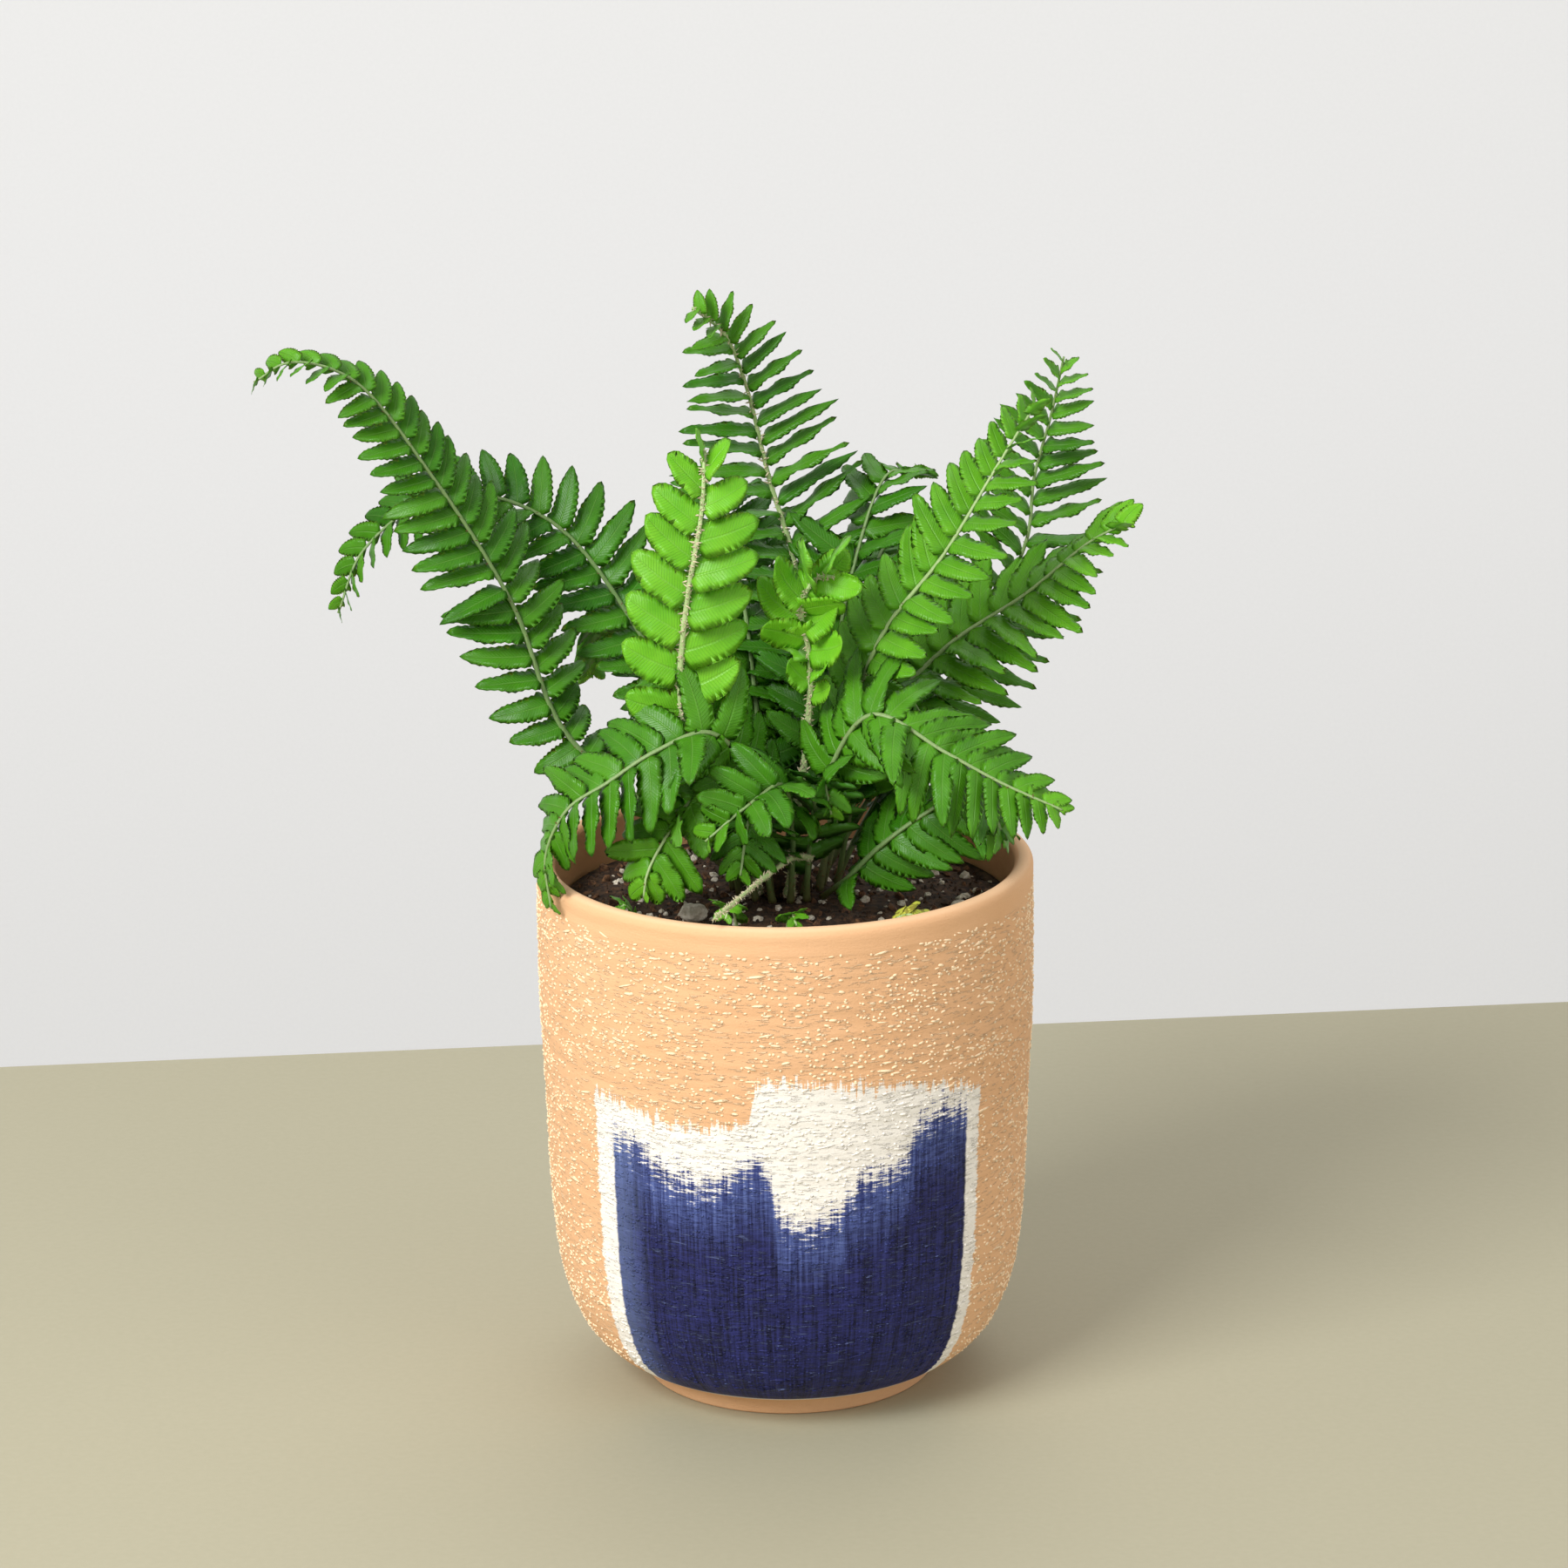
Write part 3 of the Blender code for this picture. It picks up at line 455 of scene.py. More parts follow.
PATCH_HALF_WIDTH = 57.0
INDIGO_HALF_WIDTH = 51.5
PATCH_FOOT = 5.6
EDGE_REACH = 60.0
EDGE_LOW = 50.0
EDGE_SPAN = 60.0
GROUND_EDGE = ((-60, 93), (-52, 92), (-40, 89), (-28, 88), (-12, 90), (-9.5, 92), (-7, 101), (8, 100.5),
               (30, 98), (60, 92))
INDIGO_EDGE = ((-60, 82), (-44, 81), (-34, 75), (-18, 74), (-10, 79), (-5, 76), (-2, 65), (10, 64),
               (18, 72), (32, 78), (37, 88), (60, 86))


def painted_clay(name, raised):
    """Unglazed terracotta, brushed in front with a white ground and indigo over it.

    Raised clay beads are creamier, and the brush skips over part of them.
    """
    made, tree = new_material(name)
    where = millimetres(tree)
    place = add(tree, "ShaderNodeSeparateXYZ", {0: where})
    x, y, z = place.node.outputs
    turn = add(tree, MATH, x, add(tree, MATH, y, -1.0, operation="MULTIPLY"), operation="ARCTAN2")
    arc = add(tree, MATH, turn, POT_RADIUS, operation="MULTIPLY")
    squares = [add(tree, MATH, part, 2.0, operation="POWER") for part in (x, y)]
    radius = add(tree, MATH, add(tree, MATH, *squares, operation="ADD"), operation="SQRT")
    outer = add(tree, EASE, radius, 61.0, 61.4, **SMOOTH)
    lower_wall = add(tree, EASE, z, 45.0, 44.0, **SMOOTH)
    outside = add(tree, MATH, outer, lower_wall, operation="MAXIMUM")

    def brush(across, down, seed, detail=3.0):
        """Noise drawn out along the brush stroke: across and down are marks per millimetre."""
        flat = add(tree, "ShaderNodeCombineXYZ", {0: add(tree, MATH, arc, across, operation="MULTIPLY"),
                                                  1: add(tree, MATH, z, down, operation="MULTIPLY"),
                                                  2: seed})
        return add(tree, NOISE, {"Vector": flat, "Scale": 1.0, "Detail": detail,
                                 "Roughness": 0.6})

    bristles = brush(1.5, 0.05, 3.0)
    strands = brush(0.55, 0.03, 11.0)
    drag = add(tree, MATH, add(tree, MATH, bristles, 12.0, -6.0, operation="MULTIPLY_ADD"),
               add(tree, MATH, strands, 16.0, -8.0, operation="MULTIPLY_ADD"), operation="ADD")

    # where the two coats end at the top, in millimetres of height over the way round the pot
    edges = []
    for heights in (GROUND_EDGE, INDIGO_EDGE):
        share = add(tree, EASE, arc, -EDGE_REACH, EDGE_REACH)
        line = add(tree, "ShaderNodeFloatCurve", {1: share})
        curve = line.node.mapping.curves[0]
        for way, height in heights[1:-1]:
            curve.points.new((way + EDGE_REACH) / (2 * EDGE_REACH), (height - EDGE_LOW) / EDGE_SPAN)
        for point, (_, height) in zip((curve.points[0], curve.points[-1]), (heights[0], heights[-1])):
            point.location[1] = (height - EDGE_LOW) / EDGE_SPAN
        line.node.mapping.update()
        edges.append(add(tree, MATH, line, EDGE_SPAN, EDGE_LOW, operation="MULTIPLY_ADD"))
    ground_top, ink_top = edges

    # white ground: thick, with a torn upper edge
    ridges = add(tree, "ShaderNodeMapping", {0: where, 3: (0.22, 0.22, 1.7)})
    weave = add(tree, NOISE, {"Vector": ridges, "Scale": 1.0, "Detail": 4.0, "Roughness": 0.7})
    over = add(tree, MATH, add(tree, MATH, drag, 0.75, ground_top, operation="MULTIPLY_ADD"), z,
               operation="SUBTRACT")
    torn = add(tree, MATH, weave, 9.0, -4.5, operation="MULTIPLY_ADD")
    white = add(tree, EASE, add(tree, MATH, over, torn, operation="ADD"), -0.4, 0.8, **SMOOTH)
    wobble = add(tree, MATH, brush(0.0, 0.22, 5.0, 4.0), 4.6, -2.3, operation="MULTIPLY_ADD")
    reach = add(tree, MATH, add(tree, MATH, torn, 0.34, wobble, operation="MULTIPLY_ADD"), PATCH_HALF_WIDTH,
                operation="ADD")
    width = add(tree, MATH, reach, add(tree, MATH, arc, operation="ABSOLUTE"), operation="SUBTRACT")
    for limit in (add(tree, EASE, width, -0.25, 0.35, **SMOOTH),
                  add(tree, EASE, z, PATCH_FOOT - 0.3, PATCH_FOOT + 0.2, **SMOOTH)):
        white = add(tree, MATH, white, limit, operation="MULTIPLY")

    # indigo: a dry brush that catches on the level ridges first
    catch = add(tree, MATH, weave, 34.0, -17.0, operation="MULTIPLY_ADD")
    ink_over = add(tree, MATH, add(tree, MATH, drag, 0.8, ink_top, operation="MULTIPLY_ADD"), z,
                   operation="SUBTRACT")
    ink = add(tree, EASE, add(tree, MATH, ink_over, catch, operation="ADD"), -1.5, 3.0, **SMOOTH)
    narrow = add(tree, MATH, wobble, 0.35, INDIGO_HALF_WIDTH, operation="MULTIPLY_ADD")
    off_centre = add(tree, MATH, add(tree, MATH, arc, -0.8, operation="ADD"), operation="ABSOLUTE")
    ink_width = add(tree, MATH, narrow, off_centre, operation="SUBTRACT")
    foot = add(tree, MATH, wobble, 0.3, z, operation="MULTIPLY_ADD")
    for limit in (add(tree, EASE, ink_width, -0.3, 0.6, **SMOOTH),
                  add(tree, EASE, foot, PATCH_FOOT + 1.8, PATCH_FOOT + 2.8, **SMOOTH)):
        ink = add(tree, MATH, ink, limit, operation="MULTIPLY")
    depth = add(tree, EASE, ink_over, 0.0, 22.0, **SMOOTH)

    # clay
    drift = add(tree, NOISE, {"Vector": where, "Scale": 0.03, "Detail": 3.0, "Roughness": 0.5})
    grainy = add(tree, NOISE, {"Vector": where, "Scale": 1.6, "Detail": 5.0, "Roughness": 0.65})
    clay = add(tree, MIX, {0: drift, 6: linear("#DFAE80"), 7: linear("#E9BE95")}, **COLOURS)
    clay = add(tree, MIX, {0: add(tree, MATH, grainy, 0.22, operation="MULTIPLY"), 6: clay,
                           7: linear("#D08F58")}, **COLOURS)
    cream = add(tree, MIX, {0: grainy, 6: linear("#F5D2A4"), 7: linear("#FDEBCD")}, **COLOURS)
    rows = add(tree, "ShaderNodeMapping", {0: where, 3: (0.28, 0.28, 1.5)})
    skim = add(tree, EASE, add(tree, NOISE, {"Vector": rows, "Scale": 1.0, "Detail": 4.0, "Roughness": 0.6}),
                0.55, 0.66, **SMOOTH)
    band = add(tree, MATH, add(tree, EASE, z, 10.0, 14.0, **SMOOTH),
               add(tree, EASE, z, 136.0, 133.0, **SMOOTH), operation="MULTIPLY")
    skim = add(tree, MATH, add(tree, MATH, skim, band, operation="MULTIPLY"), outside, operation="MULTIPLY")
    # a pale cream line along the rim's crest: a painted highlight
    crest_highlight = add(tree, EASE, z, 140.9, 141.8, **SMOOTH)
    clay = add(tree, MIX, {0: add(tree, MATH, crest_highlight, 0.55, operation="MULTIPLY"), 6: clay,
                           7: linear("#F3CBA2")}, **COLOURS)
    clay = add(tree, MIX, {0: add(tree, MATH, skim, 0.45, operation="MULTIPLY"), 6: clay, 7: cream}, out=2,
               data_type="RGBA")
    shade = cream if raised else clay

    # paint over the clay
    pale_lines = add(tree, EASE, weave, 0.56, 0.7, **SMOOTH)
    chalk = add(tree, MIX, {0: grainy, 6: linear("#E9E2D8"), 7: linear("#F8F4EC")}, **COLOURS)
    streak = add(tree, MATH, bristles, 0.35, add(tree, MATH, strands, 0.2, operation="MULTIPLY"),
                 operation="MULTIPLY_ADD")
    streak = add(tree, EASE, add(tree, MATH, weave, 0.45, streak, operation="MULTIPLY_ADD"), 0.4, 0.6,
                 **SMOOTH)
    wash = add(tree, MIX, {0: streak, 6: linear("#5B6CA6"), 7: linear("#2A3470")}, **COLOURS)
    deep = add(tree, MIX, {0: streak, 6: linear("#2A2E68"), 7: linear("#0B0B26")}, **COLOURS)
    indigo = add(tree, MIX, {0: depth, 6: wash, 7: deep}, **COLOURS)
    side = add(tree, EASE, arc, -38.0, -50.0, **SMOOTH)
    indigo = add(tree, MIX, {0: add(tree, MATH, side, 0.45, operation="MULTIPLY"), 6: indigo,
                             7: linear("#6F80AE")}, **COLOURS)
    worn = 0.6 if raised else 0.42
    indigo = add(tree, MIX, {0: add(tree, MATH, pale_lines, worn, operation="MULTIPLY"), 6: indigo,
                             7: linear("#6C7AB0")}, **COLOURS)
    painted = add(tree, MIX, {0: white, 6: shade, 7: chalk}, **COLOURS)
    painted = add(tree, MIX, {0: ink, 6: painted, 7: indigo}, **COLOURS)
    colour = add(tree, MIX, {0: outside, 6: shade, 7: painted}, **COLOURS)
    colour = add(tree, MIX,
                 {0: add(tree, MATH, add(tree, MATH, 1.0, outside, operation="SUBTRACT"), 0.35,
                         operation="MULTIPLY"), 6: colour, 7: linear("#DC9258")}, **COLOURS)

    rough = add(tree, MATH, add(tree, MATH, ink, outside, operation="MULTIPLY"), -0.22, 0.8,
                operation="MULTIPLY_ADD")
    height = add(tree, MATH, grainy, 0.5, add(tree, MATH, skim, 0.9, operation="MULTIPLY"),
                 operation="MULTIPLY_ADD")
    height = add(tree, MATH, weave, 0.5, height, operation="MULTIPLY_ADD")
    bump = add(tree, "ShaderNodeBump", {"Height": height, "Distance": 0.22 * MM, "Strength": 1.0})
    shader = add(tree, "ShaderNodeBsdfPrincipled", {"Base Color": colour, "Roughness": rough, "IOR": 1.48,
                                                    "Specular IOR Level": 0.25, "Normal": bump})
    add(tree, "ShaderNodeOutputMaterial", shader)
    return made


# ---------------------------------------------------------------- shared geometry tools

def mesh_from(name, points, faces, scale=MM):
    mesh = bpy.data.meshes.new(name)
    mesh.from_pydata([Vector(point) * scale for point in points], [], faces)
    return mesh


def outward(mesh):
    body = bmesh.new()
    body.from_mesh(mesh)
    bmesh.ops.recalc_face_normals(body, faces=body.faces)
    body.to_mesh(mesh)
    body.free()


def add_object(name, mesh):
    obj = bpy.data.objects.new(name, mesh)
    bpy.context.scene.collection.objects.link(obj)
    return obj


def point_values(mesh, kind, values):
    """Stores a named value on every point of a mesh. kind is FLOAT, INT or FLOAT_VECTOR."""
    for name, data in values.items():
        layer = mesh.attributes.new(name, kind, "POINT")
        layer.data.foreach_set("vector" if kind == "FLOAT_VECTOR" else "value", np.ravel(data))


def new_tree(name, inputs):
    """A Geometry Nodes tree with named inputs, each given as its socket type and default."""
    tree = bpy.data.node_groups.new(name, "GeometryNodeTree")
    tree.interface.new_socket("Geometry", in_out="INPUT", socket_type="NodeSocketGeometry")
    tree.interface.new_socket("Geometry", in_out="OUTPUT", socket_type="NodeSocketGeometry")
    for label, (kind, default) in inputs.items():
        socket = tree.interface.new_socket(label, in_out="INPUT", socket_type="NodeSocket" + kind)
        if default is not None:
            socket.default_value = default
    return tree, add(tree, "NodeGroupInput").node.outputs


def grown(name, host, tree, values):
    """Runs a tree on an object and returns its result as a plain mesh object; the host goes."""
    modifier = host.modifiers.new(tree.name, "NODES")
    modifier.node_group = tree
    for item in tree.interface.items_tree:
        if item.in_out == "INPUT" and item.name in values:
            modifier[item.identifier] = values[item.name]
    graph = bpy.context.evaluated_depsgraph_get()
    mesh = bpy.data.meshes.new_from_object(host.evaluated_get(graph), preserve_all_data_layers=True,
                                           depsgraph=graph)
    mesh.name = name
    host.modifiers.clear()
    bpy.data.objects.remove(host)
    return add_object(name, mesh)


def shape_collection(name, meshes):
    """Shapes for a tree to pick from, kept out of the scene."""
    group = bpy.data.collections.new(name)
    for place, mesh in enumerate(meshes):
        group.objects.link(bpy.data.objects.new(f"{name} {place:02d}", mesh))
    return group


# ---------------------------------------------------------------- how a frond grows

LOOKS = {
    # youth: 0 old and dark, 1 fresh. twist turns each leaflet to face up the frond, in degrees.
    # width and length scale the leaflets, droop bends their tips down, furl folds the youngest ones inwards,
    # ruffle throws each leaflet off its line, in degrees, and woolly stems carry pale hairs.
    "frond_left_arching": dict(youth=0.12, twist=40, width=0.98, droop=0.22, furl=0.6),
    "frond_left_behind": dict(youth=0.02, twist=30, width=1.0, droop=0.14, furl=0.5),
    "frond_front_bright": dict(youth=0.82, twist=15, width=0.98, droop=0.16, furl=1.5, oval=1, woolly=1),
    "frond_tall_centre": dict(youth=0.06, twist=60, width=0.86, droop=0.16, furl=0.2, woolly=0.5),
    "frond_tall_right": dict(youth=0.2, twist=54, width=0.92, droop=0.1, furl=0.6),
    "frond_right_bright_edge": dict(youth=0.5, twist=36, width=1.05, droop=0.12, furl=1.0),
    "frond_right_low_arch": dict(youth=0.5, twist=26, width=1.1, droop=0.16, furl=1.0),
    "frond_front_left_droop": dict(youth=0.16, twist=16, width=1.18, droop=0.16, furl=0.2, ruffle=5),
    "frond_front_right_droop": dict(youth=0.26, twist=14, width=1.2, droop=0.22, furl=0.1, ruffle=6),
    "frond_right_comb": dict(youth=0.05, twist=12, width=1.08, droop=0.24, furl=0.1),
    "frond_left_low": dict(youth=0.4, twist=14, width=1.2, droop=0.18, furl=0.1, oval=1, ruffle=8),
    "frond_centre_folded": dict(youth=0.12, twist=30, width=1.2, droop=0.3, furl=0.3, oval=1, ruffle=8),
    "frond_young_curled": dict(youth=1.0, twist=26, width=1.75, length=1.5, droop=-0.4, furl=1.3, oval=1,
                               ruffle=26, woolly=1),
}
PLAIN_LOOK = dict(youth=0.06, twist=24, width=1.08, droop=0.16, furl=0.3)
SPROUT_LOOK = dict(youth=0.75, twist=6, width=1.25, droop=0.14, furl=0.2, oval=1)
LEAF_WIDTH_TO_PITCH = 0.97
RACHIS_STEP = 1.3
RACHIS_SIDES = 8


def through_points(points, samples):
    """A smooth curve through the points, as evenly spaced samples."""
    knots = [Vector(point) for point in points]
    knots = [knots[0] * 2 - knots[1]] + knots + [knots[-1] * 2 - knots[-2]]
    fine = []
    for index in range(1, len(knots) - 2):
        p0, p1, p2, p3 = knots[index - 1:index + 3]
        t1 = (p1 - p0).length ** 0.5
        t2 = t1 + (p2 - p1).length ** 0.5
        t3 = t2 + (p3 - p2).length ** 0.5
        for part in range(CURVE_SAMPLES):
            t = t1 + (t2 - t1) * part / CURVE_SAMPLES
            a1 = p0 * ((t1 - t) / t1) + p1 * (t / t1)
            a2 = p1 * ((t2 - t) / (t2 - t1)) + p2 * ((t - t1) / (t2 - t1))
            a3 = p2 * ((t3 - t) / (t3 - t2)) + p3 * ((t - t2) / (t3 - t2))
            b1 = a1 * ((t2 - t) / t2) + a2 * (t / t2)
            b2 = a2 * ((t3 - t) / (t3 - t1)) + a3 * ((t - t1) / (t3 - t1))
            fine.append(b1 * ((t2 - t) / (t2 - t1)) + b2 * ((t - t1) / (t2 - t1)))
    fine.append(knots[-2].copy())
    lengths = [0.0]
    for index in range(1, len(fine)):
        lengths.append(lengths[-1] + (fine[index] - fine[index - 1]).length)
    even = []
    place = 0
    for share in samples:
        target = share * lengths[-1]
        while place < len(fine) - 2 and lengths[place + 1] < target:
            place += 1
        span = lengths[place + 1] - lengths[place]
        even.append(fine[place].lerp(fine[place + 1], (target - lengths[place]) / span))
    return even, lengths[-1]


def arch_path(ring, heading, reach, rise, drop):
    """Points of a frond that climbs from its ring and arches over towards a heading."""
    towards = Vector((math.cos(math.radians(heading)), math.sin(math.radians(heading)), 0.0))
    span = reach - ring
    points = [towards * (ring + span * out) + Vector((0, 0, SOIL_TOP + rise * up)) for out, up in ARCH_SHAPE]
    points.append(towards * reach + Vector((0, 0, SOIL_TOP + rise - drop)))
    return points


def frames_along(centres, face, radius):
    """Direction, upper side, right side and thickness of a rachis at each of its points."""
    frames = []
    for index in range(len(centres)):
        before = centres[max(0, index - 1)]
        after = centres[min(len(centres) - 1, index + 1)]
        along = (after - before).normalized()
        share = index / (len(centres) - 1)
        hint = Vector(face[0]).normalized().lerp(Vector(face[1]).normalized(), share)
        upper = (hint - along * hint.dot(along)).normalized()
        frames.append((along, upper, along.cross(upper), radius + (TIP_RADIUS - radius) * share))
    return frames


class Frond:
    """A rachis with its leaflets, placed as the CAD frond's are."""

    def __init__(self, name, path, pairs, pinna, blade, taper, face, lift, radius):
        self.name = name
        self.path = path
        self.face = face
        self.radius = radius
        self.blade = blade
        self.pinna = pinna
        self.taper = taper
        self.lift = lift
        self.count = pairs * 2
        _, self.length = through_points(path, [0.0, 1.0])
        stipe_steps = max(2, round(self.length * blade / STIPE_STEP))
        shares = [blade * index / stipe_steps for index in range(stipe_steps)]
        for index in range(self.count + 1):
            along = index / self.count
            shares.append(blade + (1.0 - blade) * along * (1.0 + CROWDING - CROWDING * along))
        self.first = stipe_steps
        self.centres, _ = through_points(path, shares)
        self.frames = frames_along(self.centres, face, radius)
        self.grown = {}
        self.chosen = {}

    def leaflet(self, index, side, lift, shorten):
        """Root, direction, breadth, upper side, length, pitch and place along the blade of one leaflet."""
        along, upper, across, _ = self.frames[index]
        share = (index - self.first) / self.count
        grow = min(1.0, PINNA_AT_FOOT + PINNA_GAIN * share)
        shrink = 1.0
        if share > self.taper:
            fade = (share - self.taper) / (1.0 - self.taper)
            shrink = 1.0 - PINNA_LOSS * fade ** PINNA_LOSS_POWER
        length = self.pinna * grow * shrink * shorten
        root = (self.centres[index] + self.centres[index + 1]) / 2
        pitch = (self.centres[index + 1] - self.centres[index]).length * 2
        angle = math.radians(lift)
        outward_way = across * side * math.cos(angle) + upper * math.sin(angle)
        forward = math.radians(PINNA_FORWARD + PINNA_MORE_FORWARD * share)
        direction = outward_way * math.cos(forward) + along * math.sin(forward)
        normal = (upper * math.cos(angle) - across * side * math.sin(angle)).normalized()
        broad = direction.cross(normal).normalized()
        if broad.dot(along) < 0:
            broad = -broad
        return root, direction, broad, normal, length, pitch, share

    def outline(self, index, side, lift, shorten, extra):
        root, direction, broad, normal, length, pitch, _ = self.leaflet(index, side, lift, shorten)
        half = pitch * PINNA_WIDTH_TO_PITCH / 2
        middle = root + direction * length * PINNA_WIDEST
        near = middle - broad * (half + extra)
        far = middle + broad * (half + extra)
        tip = root + direction * (length + extra) + broad * length * PINNA_TIP_SWEEP
        return near, far, middle + normal * (PINNA_THICKNESS + extra), tip, normal

    def clear(self, index, side, lift, shorten, trees):
        near, far, ridge, tip, normal = self.outline(index, side, lift, shorten, CLEARANCE)
        raise_root, raise_leaf = normal * (CLEARANCE + STIPE_RADIUS), normal * CLEARANCE
        base, end = self.centres[index], self.centres[index + 1]
        for others, share in ((trees, 0.0), (list(self.grown.values()), 0.45)):
            first, last = base.lerp(near, share), end.lerp(far, share)
            test = [first - raise_root, last - raise_root]
            test += [far - raise_leaf, tip - raise_leaf, near - raise_leaf]
            test += [first + raise_root, last + raise_root]
            test += [far + raise_leaf, tip + raise_leaf, near + raise_leaf, ridge]
            faces = [(0, 1, 2, 4), (4, 2, 3)]
            faces += [(corner, (corner + 1) % 5, (corner + 1) % 5 + 5, corner + 5) for corner in range(5)]
            faces += [(corner + 5, (corner + 1) % 5 + 5, 10) for corner in range(5)]
            shape = BVHTree.FromPolygons(test, faces)
            if any(shape.overlap(tree) for tree in others):
                return False
        return True

    def grow(self, trees):
        for index in range(self.first, self.first + self.count):
            side = -1 if (index - self.first) % 2 else 1
            for shorten in LENGTH_TRIES:
                lifts = [self.lift + more for more in LIFT_TRIES]
                chosen = next((lift for lift in lifts if self.clear(index, side, lift, shorten, trees)), None)
                if chosen is None:
                    continue
                self.chosen[(index, side)] = (chosen, shorten)
                near, far, ridge, tip, _ = self.outline(index, side, chosen, shorten, 0.0)
                faces = [(0, 1, 3), (0, 3, 2), (2, 3, 1)]
                self.grown[(index, side)] = BVHTree.FromPolygons([near, far, ridge, tip], faces)
                break

    def stem_tree(self):
        """The CAD's three-sided rachis, for the clearance tests."""
        points, faces = [], [(0, 1, 2)]
        for centre, (_, upper, across, thick) in zip(self.centres, self.frames):
            points.append(centre + (upper * 0.5 - across * 0.87) * thick)
            points.append(centre + (upper * 0.5 + across * 0.87) * thick)
            points.append(centre - upper * thick)
        for corner in range(0, len(points) - 3, 3):
            left, right, low = corner, corner + 1, corner + 2
            faces.append((left, left + 3, right + 3, right))
            faces.append((low, low + 3, left + 3, left))
            faces.append((right, right + 3, low + 3, low))
        faces.append((len(points) - 2, len(points) - 3, len(points) - 1))
        return BVHTree.FromPolygons(points, faces)

    def tube(self, woolly):
        """The rachis as a fine tube with a groove down its upper side."""
        steps = max(8, round(self.length / RACHIS_STEP))
        centres, _ = through_points(self.path, [index / steps for index in range(steps + 1)])
        frames = frames_along(centres, self.face, self.radius)
        points, feet, shares = [], [], []
        for index, (centre, (_, upper, across, thick)) in enumerate(zip(centres, frames)):
            share = index / steps
            swell = 1.0 + 0.35 * max(0.0, 1.0 - share / 0.06)
            for corner in range(RACHIS_SIDES):
                turn = 2 * math.pi * corner / RACHIS_SIDES
                groove = 0.62 if corner == 0 else 1.0
                reach = thick * swell * (0.92 + 0.4 * woolly) * groove
                points.append(centre + (upper * math.cos(turn) + across * math.sin(turn)) * reach)
                feet.append(max(0.0, 1.0 - share / 0.2))
                shares.append(share)
        faces = []
        for ring in range(steps):
            for corner in range(RACHIS_SIDES):
                a = ring * RACHIS_SIDES + corner
                b = ring * RACHIS_SIDES + (corner + 1) % RACHIS_SIDES
                faces.append((a, b, b + RACHIS_SIDES, a + RACHIS_SIDES))
        faces.append(tuple(range(RACHIS_SIDES))[::-1])
        last = steps * RACHIS_SIDES
        faces.append(tuple(last + corner for corner in range(RACHIS_SIDES)))
        mesh = mesh_from(self.name + " rachis", points, faces)
        outward(mesh)
        return mesh, feet, shares

    def leaflet_points(self, look, draw):
        """One point for each leaflet, carrying how it stands and what it looks like."""
        rows = dict(leaf_root=[], leaf_out=[], leaf_up=[], leaf_size=[])
        values = dict(leaf_droop=[], youth=[], tint=[])
        shapes = []
        for (index, side), (lift, shorten) in self.chosen.items():
            furl = look["furl"] * max(0.0, (index - self.first) / self.count - 0.78) / 0.22
            ruffle = look.get("ruffle", 3.5)
            stand = lift + 52.0 * furl + draw.gauss(0.0, ruffle)
            root, direction, broad, normal, length, pitch, share = self.leaflet(index, side, stand, shorten)
            bend = math.radians(draw.gauss(0.0, 0.8 * ruffle) + 26.0 * furl)
            along = self.frames[index][0]
            direction = (direction * math.cos(bend) + along * math.sin(bend)).normalized()
            broad = (broad - direction * broad.dot(direction)).normalized()
            twist = math.radians(look["twist"] * (0.75 + 0.5 * share) + draw.gauss(0.0, 1.7 * ruffle))
            normal = (normal - direction * normal.dot(direction)).normalized()
            upper = (normal * math.cos(twist) + broad * math.sin(twist)).normalized()
            length *= draw.uniform(0.93, 1.07) * (1.0 + 0.5 * furl) * look.get("length", 1.0)
            width = pitch * LEAF_WIDTH_TO_PITCH * look["width"] * draw.uniform(0.96, 1.04)
            width = min(width, length * 0.72)
            thick = self.frames[index][3]
            rows["leaf_root"].append((root - direction * thick * 0.3) * MM)
            rows["leaf_out"].append(direction)
            rows["leaf_up"].append(upper)
            rows["leaf_size"].append((length * MM, width * MM, length * MM))
            values["leaf_droop"].append(look["droop"] * draw.uniform(0.4, 1.7))
            fresher = 0.55 * max(0.0, share - 0.72) / 0.28
            values["youth"].append(min(1.0, look["youth"] + fresher + draw.uniform(-0.05, 0.05)))
            values["tint"].append(draw.random())
            # shapes come in sixes: right-hand then left-hand, narrow ones before ovals
            shapes.append((0 if side > 0 else 3) + draw.randrange(3) + 6 * look.get("oval", 0))
        mesh = bpy.data.meshes.new(self.name + " leaflet points")
        mesh.from_pydata(rows["leaf_root"], [], [])
        point_values(mesh, "FLOAT_VECTOR", rows)
        point_values(mesh, "FLOAT", values)
        point_values(mesh, "INT", {"leaf_shape": shapes})
        return mesh


def soil_height(x, y):
    """Height of the soil's surface at a point."""
    distance = math.hypot(x, y)
    if distance < 14.0:
        return SOIL_TOP - 0.2 * distance / 14.0
    if distance < 36.0:
        return SOIL_TOP - 0.2 - 1.0 * (distance - 14.0) / 22.0
    return SOIL_TOP - 1.2 - 1.6 * (distance - 36.0) / 22.2


def ring_point(ring, root):
    angle = math.radians(root)
    return (ring * math.cos(angle), ring * math.sin(angle), SOIL_TOP + STIPE_START)


